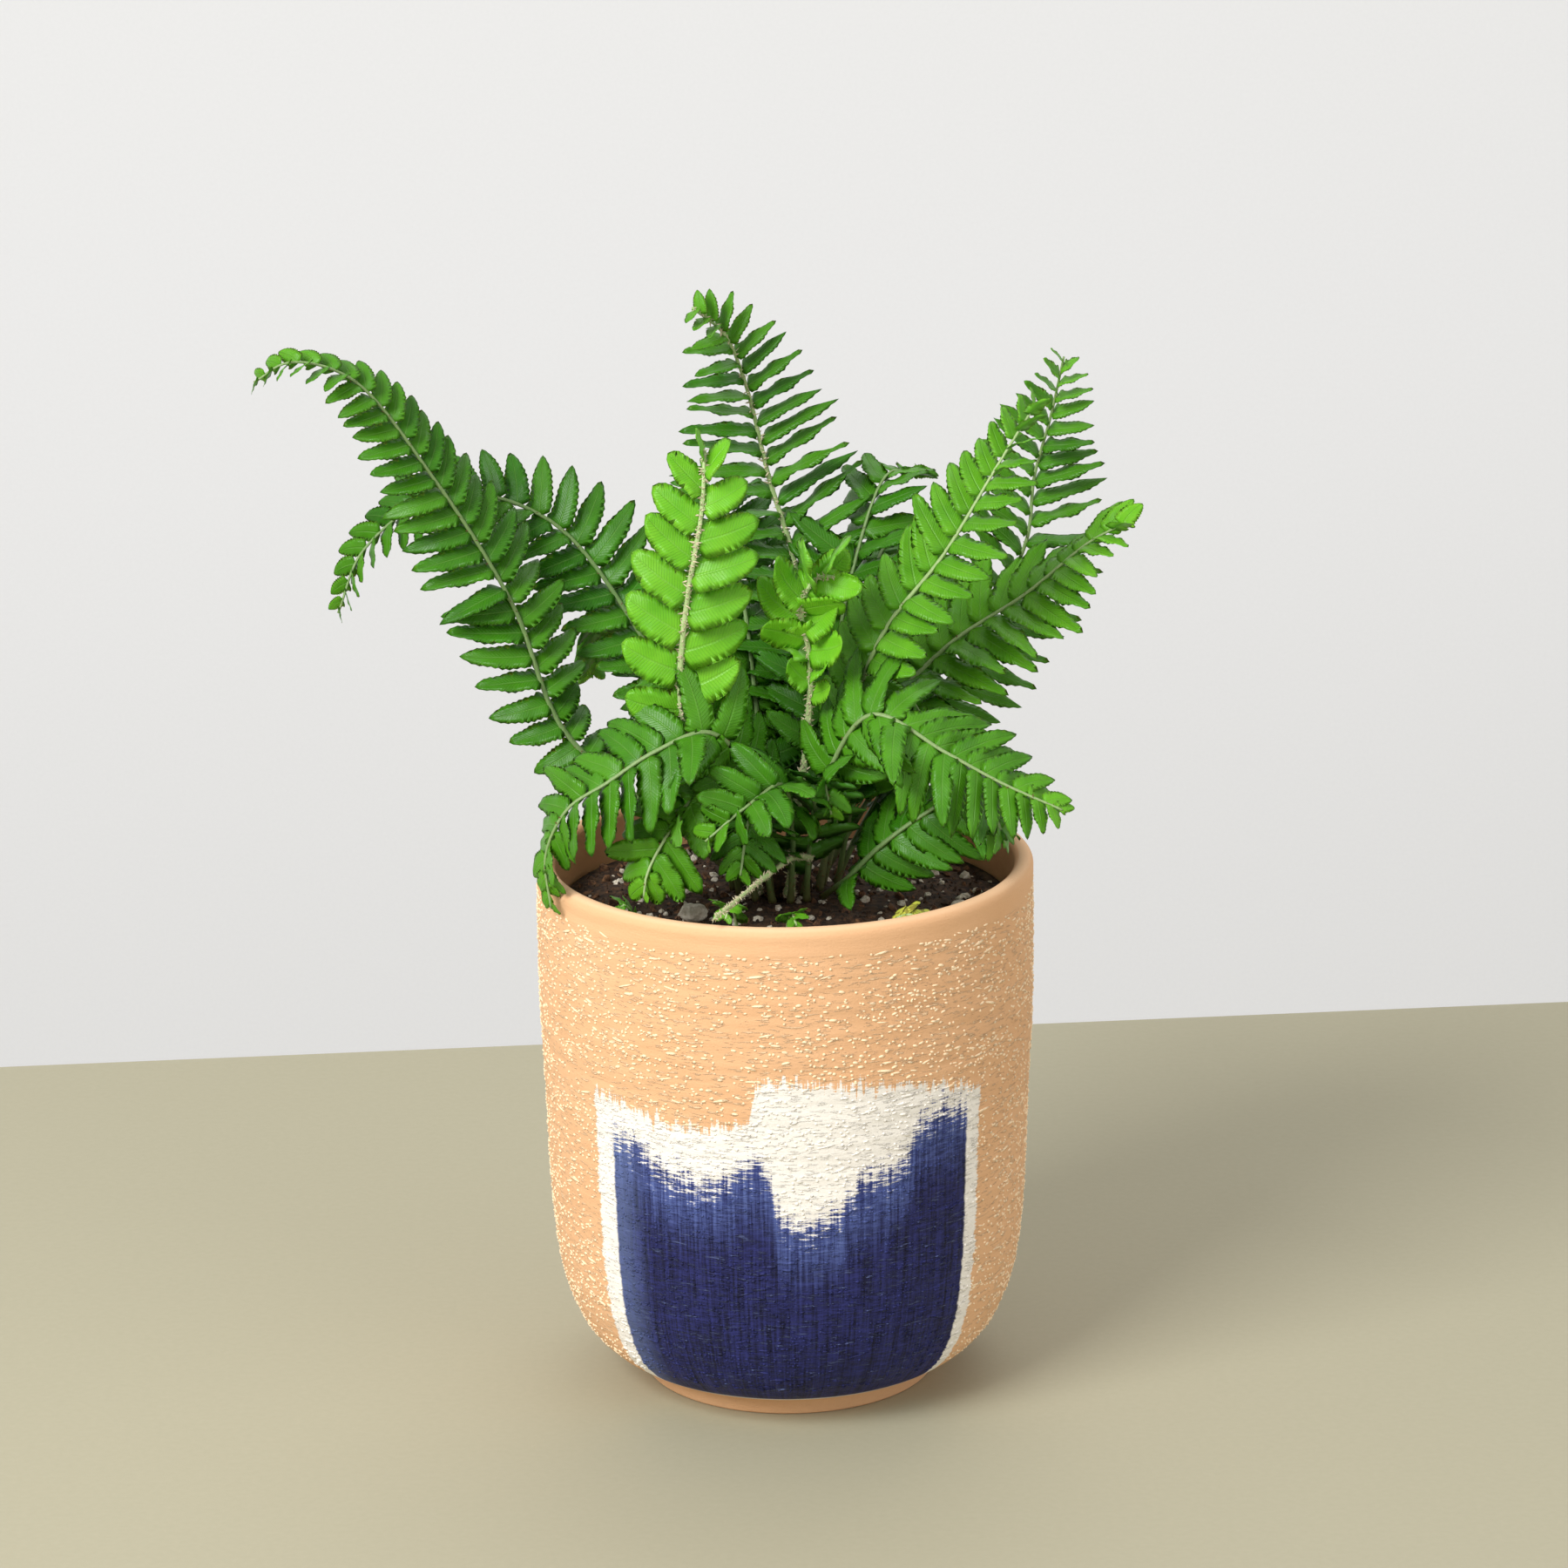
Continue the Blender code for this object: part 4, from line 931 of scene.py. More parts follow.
def make_fronds():
    made = []
    for spec in FRONDS:
        path = [ring_point(spec["ring"], spec["root"])] + spec["path"]
        frond = Frond(spec["name"], path, spec["pairs"], spec["pinna"], spec["blade"], spec["taper"],
                      spec["face"], spec["lift"], STIPE_RADIUS)
        made.append((frond, LOOKS.get(spec["name"], PLAIN_LOOK)))
    for spec in ARCHING_FRONDS:
        arch = arch_path(spec["ring"], spec["heading"], spec["reach"], spec["rise"], spec["drop"])
        path = [ring_point(spec["ring"], spec["root"])] + arch
        angle = math.radians(spec["heading"])
        inward = (-math.cos(angle), -math.sin(angle), ARCH_LEAN)
        frond = Frond(spec["name"], path, spec["pairs"], spec["pinna"], ARCH_BLADE, ARCH_TAPER,
                      (inward, UP), spec["lift"], STIPE_RADIUS)
        made.append((frond, PLAIN_LOOK))
    for spec in SPROUTS:
        x, y = spec["at"]
        base = soil_height(x, y) + GAP + SPROUT_EASE
        angle = math.radians(spec["heading"])
        ahead = Vector((math.cos(angle), math.sin(angle), 0.0)) * spec["reach"]
        start = Vector((x, y, base))
        path = [start + ahead * out + Vector((0, 0, spec["rise"] * up)) for out, up in SPROUT_SHAPE]
        frond = Frond(spec["name"], path, spec["pairs"], spec["pinna"], SPROUT_BLADE, SPROUT_TAPER,
                      ((0.0, -0.3, 1.0), UP), SPROUT_LIFT, SPROUT_RADIUS)
        made.append((frond, SPROUT_LOOK))
    return made


def node_tree_of(name):
    """The CAD node's surface in millimetres, for the clearance tests."""
    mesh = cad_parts[name].data
    return BVHTree.FromPolygons([vertex.co / MM for vertex in mesh.vertices],
                                [tuple(polygon.vertices) for polygon in mesh.polygons])


# ---------------------------------------------------------------- leaflets and scales

LEAF_STEPS = 10
LEAF_THICKNESS = 0.012
TOOTH = 0.06


def leaf_half_width(u, distal, oval):
    """Half the breadth of a leaflet, as a share of its full breadth, at a share u of its length."""
    neck = min(1.0, 0.2 + u / 0.07)
    fade_from = 0.5 if oval else 0.34
    power = 2.4 if oval else 1.9
    fade = 1.0 if u < fade_from else max(0.0, 1.0 - ((u - fade_from) / (1.0 - fade_from)) ** power) ** 0.7
    ear = 0.3 * math.exp(-((u - 0.1) / 0.075) ** 2) if distal else 0.04
    return 0.5 * neck * fade * (1.0 + ear)


def leaf_shape(name, mirrored, oval, draw):
    """A leaflet 1 long and about 1 broad: eared at its base, curved, toothed and folded at its midrib.

    Its upper side has a midrib, a row halfway out and a rim of twice as many points. The underside is one
    flat fold from the rim to a line just below the midrib, which gives the leaf its thickness.
    """
    wave, phase = draw.uniform(0.012, 0.03), draw.uniform(0.0, 2 * math.pi)
    sag = draw.uniform(0.05, 0.12)
    hand = -1 if mirrored else 1
    points, sheet, under = [], [], []

    def place(u, part, drop=0.0):
        half = leaf_half_width(u, part > 0, oval)
        sweep = (0.3 if oval else 0.42) * u * u
        fold = 0.055 * abs(part) * min(1.0, u * 8)
        ripple = wave * math.sin(14.0 * u + phase + 2.0 * part) * abs(part)
        points.append((u, (part * half + sweep) * hand, fold - sag * part * part * 0.5 + ripple - drop))
        sheet.append((u, 0.5 + part / 2))
        under.append(1.0 if drop else 0.0)
        return len(points) - 1

    midrib = [place(step / LEAF_STEPS, 0.0) for step in range(LEAF_STEPS + 1)]
    beneath = [place(step / LEAF_STEPS, 0.0, LEAF_THICKNESS) for step in range(1, LEAF_STEPS)]
    beneath = [midrib[0], *beneath, midrib[-1]]
    faces, rims = [], []
    for side in (-1, 1):
        half_way = [place(step / LEAF_STEPS, 0.52 * side) for step in range(LEAF_STEPS)]
        rim = []
        for step in range(2 * LEAF_STEPS):
            u = step / (2 * LEAF_STEPS)
            # a tooth at every other point of the rim
            reach = 1.0 + TOOTH * (1 if oval else 2) * (step % 2) * (u > 0.06)
            rim.append(place(u, side * reach))
        half_way.append(midrib[-1])
        rim.append(midrib[-1])
        for step in range(LEAF_STEPS):
            inner, outer, edge = midrib[step:step + 2], half_way[step:step + 2], rim[2 * step:2 * step + 3]
            faces.append((inner[0], inner[1], outer[1], outer[0]))
            faces.append((outer[0], outer[1], edge[2], edge[1]))
            faces.append((outer[0], edge[1], edge[0]))
            faces.append((beneath[step], edge[0], edge[1], edge[2], beneath[step + 1]))
        faces.append((midrib[0], half_way[0], rim[0]))
        rims.append(rim)
    mesh = mesh_from(name, points, [tuple(dict.fromkeys(face)) for face in faces], 1.0)
    layer = mesh.uv_layers.new(name="leaf")
    layer.data.foreach_set("uv", [value for loop in mesh.loops for value in sheet[loop.vertex_index]])
    point_values(mesh, "FLOAT", {"under": under})
    body = bmesh.new()
    body.from_mesh(mesh)
    bmesh.ops.delete(body, geom=[face for face in body.faces if len(face.verts) < 3], context="FACES")
    bmesh.ops.triangulate(body, faces=[face for face in body.faces if len(face.verts) > 4])
    bmesh.ops.recalc_face_normals(body, faces=body.faces)
    body.to_mesh(mesh)
    body.free()
    return mesh


def spindle(name, length, width, sides=4):
    """A thin closed scale or hair, 1 long along X, pointed at both ends."""
    points = [(0, 0, 0)]
    for share, girth in ((0.3, 1.0), (0.65, 0.7)):
        for corner in range(sides):
            turn = 2 * math.pi * corner / sides
            wide, thick = width * girth, width * 0.3 * girth
            points.append((length * share, wide * math.cos(turn), thick * math.sin(turn)))
    points.append((length, 0, 0))
    faces = [(0, 1 + (corner + 1) % sides, 1 + corner) for corner in range(sides)]
    for corner in range(sides):
        after = (corner + 1) % sides
        faces.append((1 + corner, 1 + after, 1 + sides + after, 1 + sides + corner))
        faces.append((1 + sides + corner, 1 + sides + after, len(points) - 1))
    mesh = mesh_from(name, points, faces, 1.0)
    outward(mesh)
    return mesh


def leaflet_tree():
    """Leaflets on their points, bent and put together with the rachis and its scales."""
    tree, given = new_tree("Leaflets and scales on a rachis", {
        "Leaflet points": ("Object", None), "Leaflet shapes": ("Collection", None),
        "Scale shape": ("Object", None), "Leaf": ("Material", None), "Stem": ("Material", None),
        "Scale": ("Material", None),
        "Scales per square metre": ("Float", 1.0), "Scale size": ("Float", 0.001), "Seed": ("Int", 0)})
    points = add(tree, "GeometryNodeObjectInfo", {"Object": given["Leaflet points"]}, out="Geometry")
    shapes = add(tree, "GeometryNodeCollectionInfo",
                 {"Collection": given["Leaflet shapes"], "Separate Children": True, "Reset Children": True})
    kinds = dict(leaf_out="FLOAT_VECTOR", leaf_up="FLOAT_VECTOR", leaf_size="FLOAT_VECTOR",
                 leaf_root="FLOAT_VECTOR", leaf_droop="FLOAT", leaf_shape="INT", scaly="FLOAT")
    held = {name: add(tree, "GeometryNodeInputNamedAttribute", name, data_type=kind)
            for name, kind in kinds.items()}
    out, up = held["leaf_out"], held["leaf_up"]
    turn = add(tree, "FunctionNodeAxesToRotation", {0: up, 1: out}, primary_axis="Z", secondary_axis="X")
    placed = add(tree, "GeometryNodeInstanceOnPoints",
                 {"Points": points, "Instance": shapes, "Pick Instance": True, "Rotation": turn,
                  "Instance Index": held["leaf_shape"], "Scale": held["leaf_size"]})
    leaves = add(tree, "GeometryNodeRealizeInstances", {"Geometry": placed})
    # a leaflet hangs more the further it is from its root
    away = add(tree, "ShaderNodeVectorMath",
               {0: add(tree, "GeometryNodeInputPosition"), 1: held["leaf_root"]}, operation="SUBTRACT")
    reach = add(tree, "ShaderNodeVectorMath", {0: away, 1: out}, out="Value", operation="DOT_PRODUCT")
    length = add(tree, "ShaderNodeSeparateXYZ", {0: held["leaf_size"]})
    bent = add(tree, MATH, add(tree, MATH, reach, reach, operation="MULTIPLY"), held["leaf_droop"],
               operation="MULTIPLY")
    sag = add(tree, MATH, bent, length, operation="DIVIDE")
    shift = add(tree, "ShaderNodeVectorMath", {0: up, 3: add(tree, MATH, sag, -1.0, operation="MULTIPLY")},
                operation="SCALE")
    leaves = add(tree, "GeometryNodeSetPosition", {"Geometry": leaves, "Offset": shift})
    leaves = add(tree, "GeometryNodeSetMaterial", {"Geometry": leaves, "Material": given["Leaf"]})

    density = add(tree, MATH, held["scaly"], given["Scales per square metre"], operation="MULTIPLY")
    spread = add(tree, "GeometryNodeDistributePointsOnFaces",
                 {"Mesh": given["Geometry"], "Seed": given["Seed"], "Density": density})
    lean = add(tree, "FunctionNodeRandomValue",
               {0: (-0.5, 0.3, -3.1), 1: (0.5, 1.1, 3.1), "Seed": given["Seed"]}, data_type="FLOAT_VECTOR")
    tilt = add(tree, "FunctionNodeEulerToRotation", {0: lean})
    sit = add(tree, "FunctionNodeRotateRotation",
              {"Rotation": spread.node.outputs["Rotation"], "Rotate By": tilt}, rotation_space="LOCAL")
    size = add(tree, "FunctionNodeRandomValue", {2: 0.5, 3: 1.2, "Seed": given["Seed"]}, out=1)
    chaff = add(tree, "GeometryNodeInstanceOnPoints",
                {"Points": spread.node.outputs["Points"],
                 "Instance": add(tree, "GeometryNodeObjectInfo", {"Object": given["Scale shape"]},
                                 out="Geometry"), "Rotation": sit,
                 "Scale": add(tree, MATH, size, given["Scale size"], operation="MULTIPLY")})
    chaff = add(tree, "GeometryNodeRealizeInstances", {"Geometry": chaff})
    chaff = add(tree, "GeometryNodeSetMaterial", {"Geometry": chaff, "Material": given["Scale"]})
    stem = add(tree, "GeometryNodeSetMaterial", {"Geometry": given["Geometry"], "Material": given["Stem"]})
    whole = add(tree, "GeometryNodeJoinGeometry")
    for part in (stem, leaves, chaff):
        tree.links.new(part, whole.node.inputs[0])
    soft = add(tree, "GeometryNodeSetShadeSmooth", {0: whole})
    add(tree, "NodeGroupOutput", {0: soft})
    return tree


def scatter_tree():
    """Grains scattered over a surface, each turned and sized at random and sunk a little into it."""
    tree, given = new_tree("Grains over a surface", {
        "Grains": ("Collection", None), "Material": ("Material", None), "Least gap": ("Float", 0.001),
        "Most per square metre": ("Float", 1000.0), "Smallest": ("Float", 0.001), "Largest": ("Float", 0.002),
        "Sink": ("Float", 0.0), "Seed": ("Int", 0)})
    spread = add(tree, "GeometryNodeDistributePointsOnFaces",
                 {"Mesh": given["Geometry"], "Distance Min": given["Least gap"],
                  "Density Max": given["Most per square metre"],
                  "Density Factor": add(tree, "GeometryNodeInputNamedAttribute", "open", data_type="FLOAT"),
                  "Seed": given["Seed"]}, distribute_method="POISSON")
    turn = add(tree, "FunctionNodeRandomValue", {0: (-3.14, -3.14, -3.14), 1: (3.14, 3.14, 3.14), "Seed": 1},
                data_type="FLOAT_VECTOR")
    chance = add(tree, "FunctionNodeRandomValue", {2: 0.0, 3: 1.0, "Seed": 2}, out=1)
    skewed = add(tree, MATH, chance, 2.2, operation="POWER")
    size = add(tree, MATH, skewed, add(tree, MATH, given["Largest"], given["Smallest"],
                                       operation="SUBTRACT"), given["Smallest"], operation="MULTIPLY_ADD")
    shapes = add(tree, "GeometryNodeCollectionInfo",
                 {"Collection": given["Grains"], "Separate Children": True, "Reset Children": True})
    placed = add(tree, "GeometryNodeInstanceOnPoints",
                 {"Points": spread.node.outputs["Points"], "Instance": shapes, "Pick Instance": True,
                  "Rotation": add(tree, "FunctionNodeEulerToRotation", {0: turn}), "Scale": size})
    real = add(tree, "GeometryNodeRealizeInstances", {"Geometry": placed})
    drop = add(tree, "ShaderNodeCombineXYZ",
               {2: add(tree, MATH, given["Sink"], -1.0, operation="MULTIPLY")})
    real = add(tree, "GeometryNodeSetPosition", {"Geometry": real, "Offset": drop})
    real = add(tree, "GeometryNodeSetMaterial", {"Geometry": real, "Material": given["Material"]})
    add(tree, "NodeGroupOutput", {0: real})
    return tree


def bead_tree():
    """Raised clay beads and dashes on the pot's wall, drawn out level as the slip was dragged round it."""
    tree, given = new_tree("Clay beads on a turned wall", {
        "Beads": ("Collection", None), "Material": ("Material", None), "Least gap": ("Float", 0.001),
        "Most per square metre": ("Float", 1000.0), "Height": ("Float", 0.0004), "Breadth": ("Float", 0.0007),
        "Longest": ("Float", 0.004), "Seed": ("Int", 0)})
    spread = add(tree, "GeometryNodeDistributePointsOnFaces",
                 {"Mesh": given["Geometry"], "Distance Min": given["Least gap"],
                  "Density Max": given["Most per square metre"],
                  "Density Factor": add(tree, "GeometryNodeInputNamedAttribute", "beaded",
                                        data_type="FLOAT"), "Seed": given["Seed"]},
                 distribute_method="POISSON")
    normal = spread.node.outputs["Normal"]
    level = add(tree, "ShaderNodeVectorMath", {0: (0, 0, 1), 1: normal}, operation="CROSS_PRODUCT")
    turn = add(tree, "FunctionNodeAxesToRotation", {0: normal, 1: level}, primary_axis="Z",
               secondary_axis="X")
    tilt = add(tree, "FunctionNodeRandomValue", {2: -0.35, 3: 0.35, "Seed": 4}, out=1)
    tip = add(tree, "FunctionNodeAxisAngleToRotation", {0: (0, 0, 1), 1: tilt})
    turn = add(tree, "FunctionNodeRotateRotation", {0: turn, 1: tip}, rotation_space="LOCAL")
    chance = add(tree, "FunctionNodeRandomValue", {2: 0.0, 3: 1.0, "Seed": 5}, out=1)
    rest = add(tree, MATH, given["Longest"], given["Breadth"], operation="SUBTRACT")
    length = add(tree, MATH, add(tree, MATH, chance, 3.2, operation="POWER"), rest, given["Breadth"],
                 operation="MULTIPLY_ADD")
    breadth = add(tree, MATH, given["Breadth"],
                  add(tree, "FunctionNodeRandomValue", {2: 0.55, 3: 1.25, "Seed": 6}, out=1),
                  operation="MULTIPLY")
    size = add(tree, "ShaderNodeCombineXYZ", {0: length, 1: breadth, 2: given["Height"]})
    shapes = add(tree, "GeometryNodeCollectionInfo",
                 {"Collection": given["Beads"], "Separate Children": True, "Reset Children": True})
    placed = add(tree, "GeometryNodeInstanceOnPoints",
                 {"Points": spread.node.outputs["Points"], "Instance": shapes, "Pick Instance": True,
                  "Rotation": turn, "Scale": size})
    real = add(tree, "GeometryNodeRealizeInstances", {"Geometry": placed})
    real = add(tree, "GeometryNodeSetMaterial", {"Geometry": real, "Material": given["Material"]})
    real = add(tree, "GeometryNodeSetShadeSmooth", {0: real})
    add(tree, "NodeGroupOutput", {0: real})
    return tree


# ---------------------------------------------------------------- pot, soil, crown, runner and stones

POT_SIDES = 224
OUTSIDE = ((65.0, 139.6), (65.0, 104.0), (64.0, 80.0), (63.0, 52.0), (61.6, 36.0), (59.2, 25.0), (54.6, 15.0),
           (48.0, 8.4), (40.5, 4.9))
INSIDE_TOP = 120.0
SHAPES_OF_GRAIN = 5


def turned_shell(name, profile, sides, push):
    """A closed turned shape whose profile runs from axis to axis. push moves each point along its radius."""
    points, faces = [(0.0, 0.0, profile[0][1])], []
    rings = profile[1:-1]
    for radius, z in rings:
        for side in range(sides):
            turn = 2 * math.pi * side / sides
            reach = radius + push(radius, z, turn)
            points.append((reach * math.cos(turn), reach * math.sin(turn), z))
    points.append((0.0, 0.0, profile[-1][1]))
    last = len(points) - 1
    for side in range(sides):
        after = (side + 1) % sides
        faces.append((0, 1 + side, 1 + after))
        faces.append((last, last - sides + after, last - sides + side))
        for ring in range(len(rings) - 1):
            low = 1 + ring * sides
            faces.append((low + side, low + sides + side, low + sides + after, low + after))
    mesh = mesh_from(name, points, faces)
    outward(mesh)
    mesh.shade_smooth()
    return mesh


def pot_mesh():
    """The pot's wall, turned fine enough to show its throwing rings."""
    curved = [(radius, 0.0, z) for radius, z in OUTSIDE]
    outside, _ = through_points(curved, [step / 150 for step in range(151)])
    outer = [(point.x, point.z) for point in outside]
    outer += [(FOOT_RADIUS, 3.4), (FOOT_RADIUS, 0.6), (38.6, 0.1), (37.6, 0.0)]
    inner = [(inner_radius(z), z) for z in (FLOOR_TOP, 14.0, 21.0, 33.0, 60.0, 96.0)]
    inner += [(inner_radius(z), z) for z in np.linspace(INSIDE_TOP, POT_HEIGHT - LIP_RADIUS, 12)]
    lip = []
    for step in range(1, 12):
        turn = math.pi * step / 12
        middle = POT_RADIUS - WALL / 2
        rise = LIP_RADIUS * math.sin(turn)
        lip.append((middle - WALL / 2 * math.cos(turn), POT_HEIGHT - LIP_RADIUS + rise))
    profile = [(0.0, FLOOR_TOP), *inner, *lip, *outer, (0.0, 0.0)]

    def push(radius, z, turn):
        if radius < FOOT_RADIUS + 0.5 or not 8.0 < z < 139.0:
            return 0.0
        rings = 0.07 * math.sin(z * 2.1) + 0.06 * math.sin(z * 0.83 + 1.3)
        lumps = 0.22 * noise.noise(Vector((math.cos(turn) * 4.0, math.sin(turn) * 4.0, z * 0.33)))
        return min(0.0, rings + lumps - 0.12)

    return turned_shell("pot_wall", profile, POT_SIDES, push)


def grain_mesh(name, draw, stretch, push):
    """A broken lump 1 across: a ball of few faces, pushed in and out and stretched."""
    body = bmesh.new()
    bmesh.ops.create_icosphere(body, subdivisions=1, radius=0.5)
    for vertex in body.verts:
        vertex.co *= 1.0 + draw.uniform(-push, push)
        vertex.co = Vector(vertex.co[axis] * stretch[axis] for axis in range(3))
    mesh = bpy.data.meshes.new(name)
    body.to_mesh(mesh)
    body.free()
    return mesh


def grains(name, draw, stretch, push):
    shapes = [grain_mesh(f"{name} {place}", draw, stretch, push) for place in range(SHAPES_OF_GRAIN)]
    return shape_collection(name, shapes)


def build_pot():
    body = add_object("pot_body", pot_mesh())
    body.data.materials.append(painted_clay("unglazed terracotta with brushed slip", False))
    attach(body, "root")
    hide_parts("pot")
    raised = painted_clay("raised clay beads", True)
    draw = random.Random(71)
    beads = grains("clay bead", draw, (1.0, 1.0, 1.0), 0.12)
    tree = bead_tree()
    for layer in BEAD_LAYERS:
        host = add_object(layer["name"] + " ground", body.data.copy())
        values = []
        for vertex in host.data.vertices:
            point = vertex.co / MM
            outside = point.xy.length > 61.5 or (point.xy.length > 50.0 and point.z < 45.0)
            clear = 0.68 + 0.8 * noise.noise(Vector((point.x * 0.05, point.y * 0.05, point.z * 0.16)))
            beaded = outside and BEADS_FROM < point.z < BEADS_TO
            values.append(max(0.0, min(1.0, clear)) if beaded else 0.0)
        point_values(host.data, "FLOAT", {"beaded": values})
        piece = grown(layer["name"], host, tree, {
            "Beads": beads, "Material": raised, "Least gap": layer["gap"] * MM,
            "Most per square metre": layer["density"], "Height": layer["height"] * MM,
            "Breadth": layer["breadth"] * MM, "Longest": layer["longest"] * MM, "Seed": layer["seed"]})
        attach(piece, "root")


def soil_mesh():
    """Potting mix: an uneven, crumbly top on a plain closed body that fills the pot."""
    edge = inner_radius(SOIL_EDGE) - GAP - 0.7
    rings = [(radius, soil_height(radius, 0.0)) for radius in np.linspace(1.0, edge, 56)]
    sides = [(inner_radius(z) - GAP - SOIL_EASE - depth_in_corner(z), z)
             for z in (126.0, 96.0, 60.0, 33.0, 21.0, 14.0)]
    floor = FLOOR_TOP + GAP
    profile = [(0.0, SOIL_TOP), *rings, *sides, (inner_radius(FLOOR_TOP) - 2.0, floor), (0.0, floor)]
    mesh = turned_shell("soil", profile, 160, lambda radius, z, turn: 0.0)
    for vertex in mesh.vertices:
        point = vertex.co / MM
        if point.z > SOIL_SURFACE:
            fade = min(1.0, (edge - point.xy.length) / 2.0) if point.xy.length < edge else 0.0
            lumps = 1.3 * noise.noise(Vector((point.x * 0.13, point.y * 0.13, 3.0)))
            crumbs = 0.6 * noise.noise(Vector((point.x * 0.5, point.y * 0.5, 9.0)))
            vertex.co.z += (lumps + crumbs - 0.4) * max(0.0, fade) * MM
    return mesh


def build_soil():
    draw = random.Random(83)
    soil = add_object("soil_body", soil_mesh())
    soil.data.materials.append(peat_mix())
    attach(soil, "root")
    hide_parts("potting_soil")
    tree = scatter_tree()
    bark = grains("bark", draw, (1.0, 0.62, 0.36), 0.22)
    lumps = grains("perlite", draw, (1.0, 0.86, 0.8), 0.16)
    stuffs = ((bark, peat_mix()), (bark, bark_chips()), (lumps, expanded_perlite()))
    top = inner_radius(SOIL_EDGE) - 3.5
    for layer, (shapes, material) in zip(SOIL_LAYERS, stuffs):
        host = add_object(layer["name"] + " ground", soil.data.copy())
        free = []
        for vertex in host.data.vertices:
            point = vertex.co / MM
            free.append(1.0 if point.z > SOIL_SURFACE and CROWN_RADIUS < point.xy.length < top else 0.0)
        point_values(host.data, "FLOAT", {"open": free})
        piece = grown(layer["name"], host, tree, {
            "Grains": shapes, "Material": material, "Least gap": layer["gap"] * MM,
            "Most per square metre": layer["density"], "Smallest": layer["smallest"] * MM,
            "Largest": layer["largest"] * MM, "Sink": layer["sink"] * MM, "Seed": layer["seed"]})
        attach(piece, "root")


def build_crown():
    """The crown: a knobbly woody clump, shaggy with old scales."""
    profile = [(0.0, SOIL_TOP + GAP + CROWN_HEIGHT)]
    for step in range(1, 25):
        turn = math.pi / 2 * step / 24
        profile.append((CROWN_RADIUS * math.sin(turn), SOIL_TOP + GAP + CROWN_HEIGHT * math.cos(turn)))
    profile.append((0.0, SOIL_TOP + GAP))

    def push(radius, z, turn):
        knobs = noise.noise(Vector((math.cos(turn) * 2.6, math.sin(turn) * 2.6, z * 0.5)))
        return 0.9 * knobs * radius / CROWN_RADIUS - 0.5 * radius / CROWN_RADIUS

    host = add_object("crown ground", turned_shell("crown", profile, 64, push))
    count = len(host.data.vertices)
    point_values(host.data, "FLOAT", {"scaly": [1.0] * count, "foot": [1.0] * count, "youth": [0.0] * count})
    piece = with_scales("crown_shaggy", host, None, fern_crown(), DRY, 4.5e6, 2.2, 11)
    finish_plant(piece, "crown")


def build_runner():
    """The runner: a thin creeping stem, pale green under silvery scales."""
    draw = random.Random(19)
    steps = 60
    centres, _ = through_points(RUNNER_PATH, [step / steps for step in range(steps + 1)])
    points, faces, sides = [], [], 10
    for step, centre in enumerate(centres):
        ahead = (centres[min(steps, step + 1)] - centres[max(0, step - 1)]).normalized()
        across = ahead.cross(Vector((0, 0, 1))).normalized()
        upper = across.cross(ahead)
        thick = RUNNER_RADIUS * (1.0 - 0.5 * step / steps) * (1.0 + draw.uniform(-0.1, 0.1))
        thick *= 0.35 if step in (0, steps) else 1.0
        for side in range(sides):
            turn = 2 * math.pi * side / sides
            points.append(centre + (across * math.cos(turn) + upper * math.sin(turn)) * thick)
    for step in range(steps):
        for side in range(sides):
            a, b = step * sides + side, step * sides + (side + 1) % sides
            faces.append((a, b, b + sides, a + sides))
    faces += [tuple(range(sides)), tuple(steps * sides + side for side in range(sides))]
    mesh = mesh_from("runner", points, faces)
    outward(mesh)
    host = add_object("runner ground", mesh)
    count = len(mesh.vertices)
    point_values(mesh, "FLOAT", {"scaly": [1.0] * count, "foot": [0.15] * count, "youth": [1.0] * count})
    piece = with_scales("runner_scaly", host, None, FRESH_STEM, SILVERY, 7.0e6, 1.5, 12)
    finish_plant(piece, "runner")


def build_stones():
    rock = limestone_pebble()
    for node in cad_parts:
        if not node.startswith("stone"):
            continue
        low, high = (Vector(corner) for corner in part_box(node))
        middle, half = (low + high) / 2, (high - low) / 2
        draw = random.Random(node)
        body = bmesh.new()
        bmesh.ops.create_icosphere(body, subdivisions=4, radius=1.0)
        offset = Vector((draw.uniform(0, 9), draw.uniform(0, 9), 0.0))
        for vertex in body.verts:
            coarse, fine = noise.noise(vertex.co * 1.5 + offset), noise.noise(vertex.co * 5.0 + offset)
            reach = min(1.0, 0.95 + (0.2 * coarse + 0.07 * fine))
            vertex.co = middle + Vector(vertex.co[axis] * half[axis] * reach for axis in range(3))
        mesh = bpy.data.meshes.new(node + "_pebble")
        body.to_mesh(mesh)
        body.free()
        mesh.shade_smooth()
        mesh.materials.append(rock)
        piece = add_object(node + "_pebble", mesh)
        finish_plant(piece, node)


# ---------------------------------------------------------------- fronds

def finish_plant(piece, node):
    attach(piece, "root")
    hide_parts(node)


def with_scales(name, host, leaf_points, stem, scale_finish, density, scale_size, seed, leaf=None):
    """Runs the leaflet tree over a stem. leaf_points is None where there are no leaflets."""
    carrier = add_object(name + " leaflet points", leaf_points or bpy.data.meshes.new(name + " none"))
    piece = grown(name, host, LEAFLETS, {
        "Leaflet points": carrier, "Leaflet shapes": LEAF_SHAPES, "Scale shape": SCALE_SHAPE, "Leaf": leaf,
        "Stem": stem, "Scale": scale_finish, "Scales per square metre": density,
        "Scale size": scale_size * MM, "Seed": seed})
    bpy.data.objects.remove(carrier)
    return piece


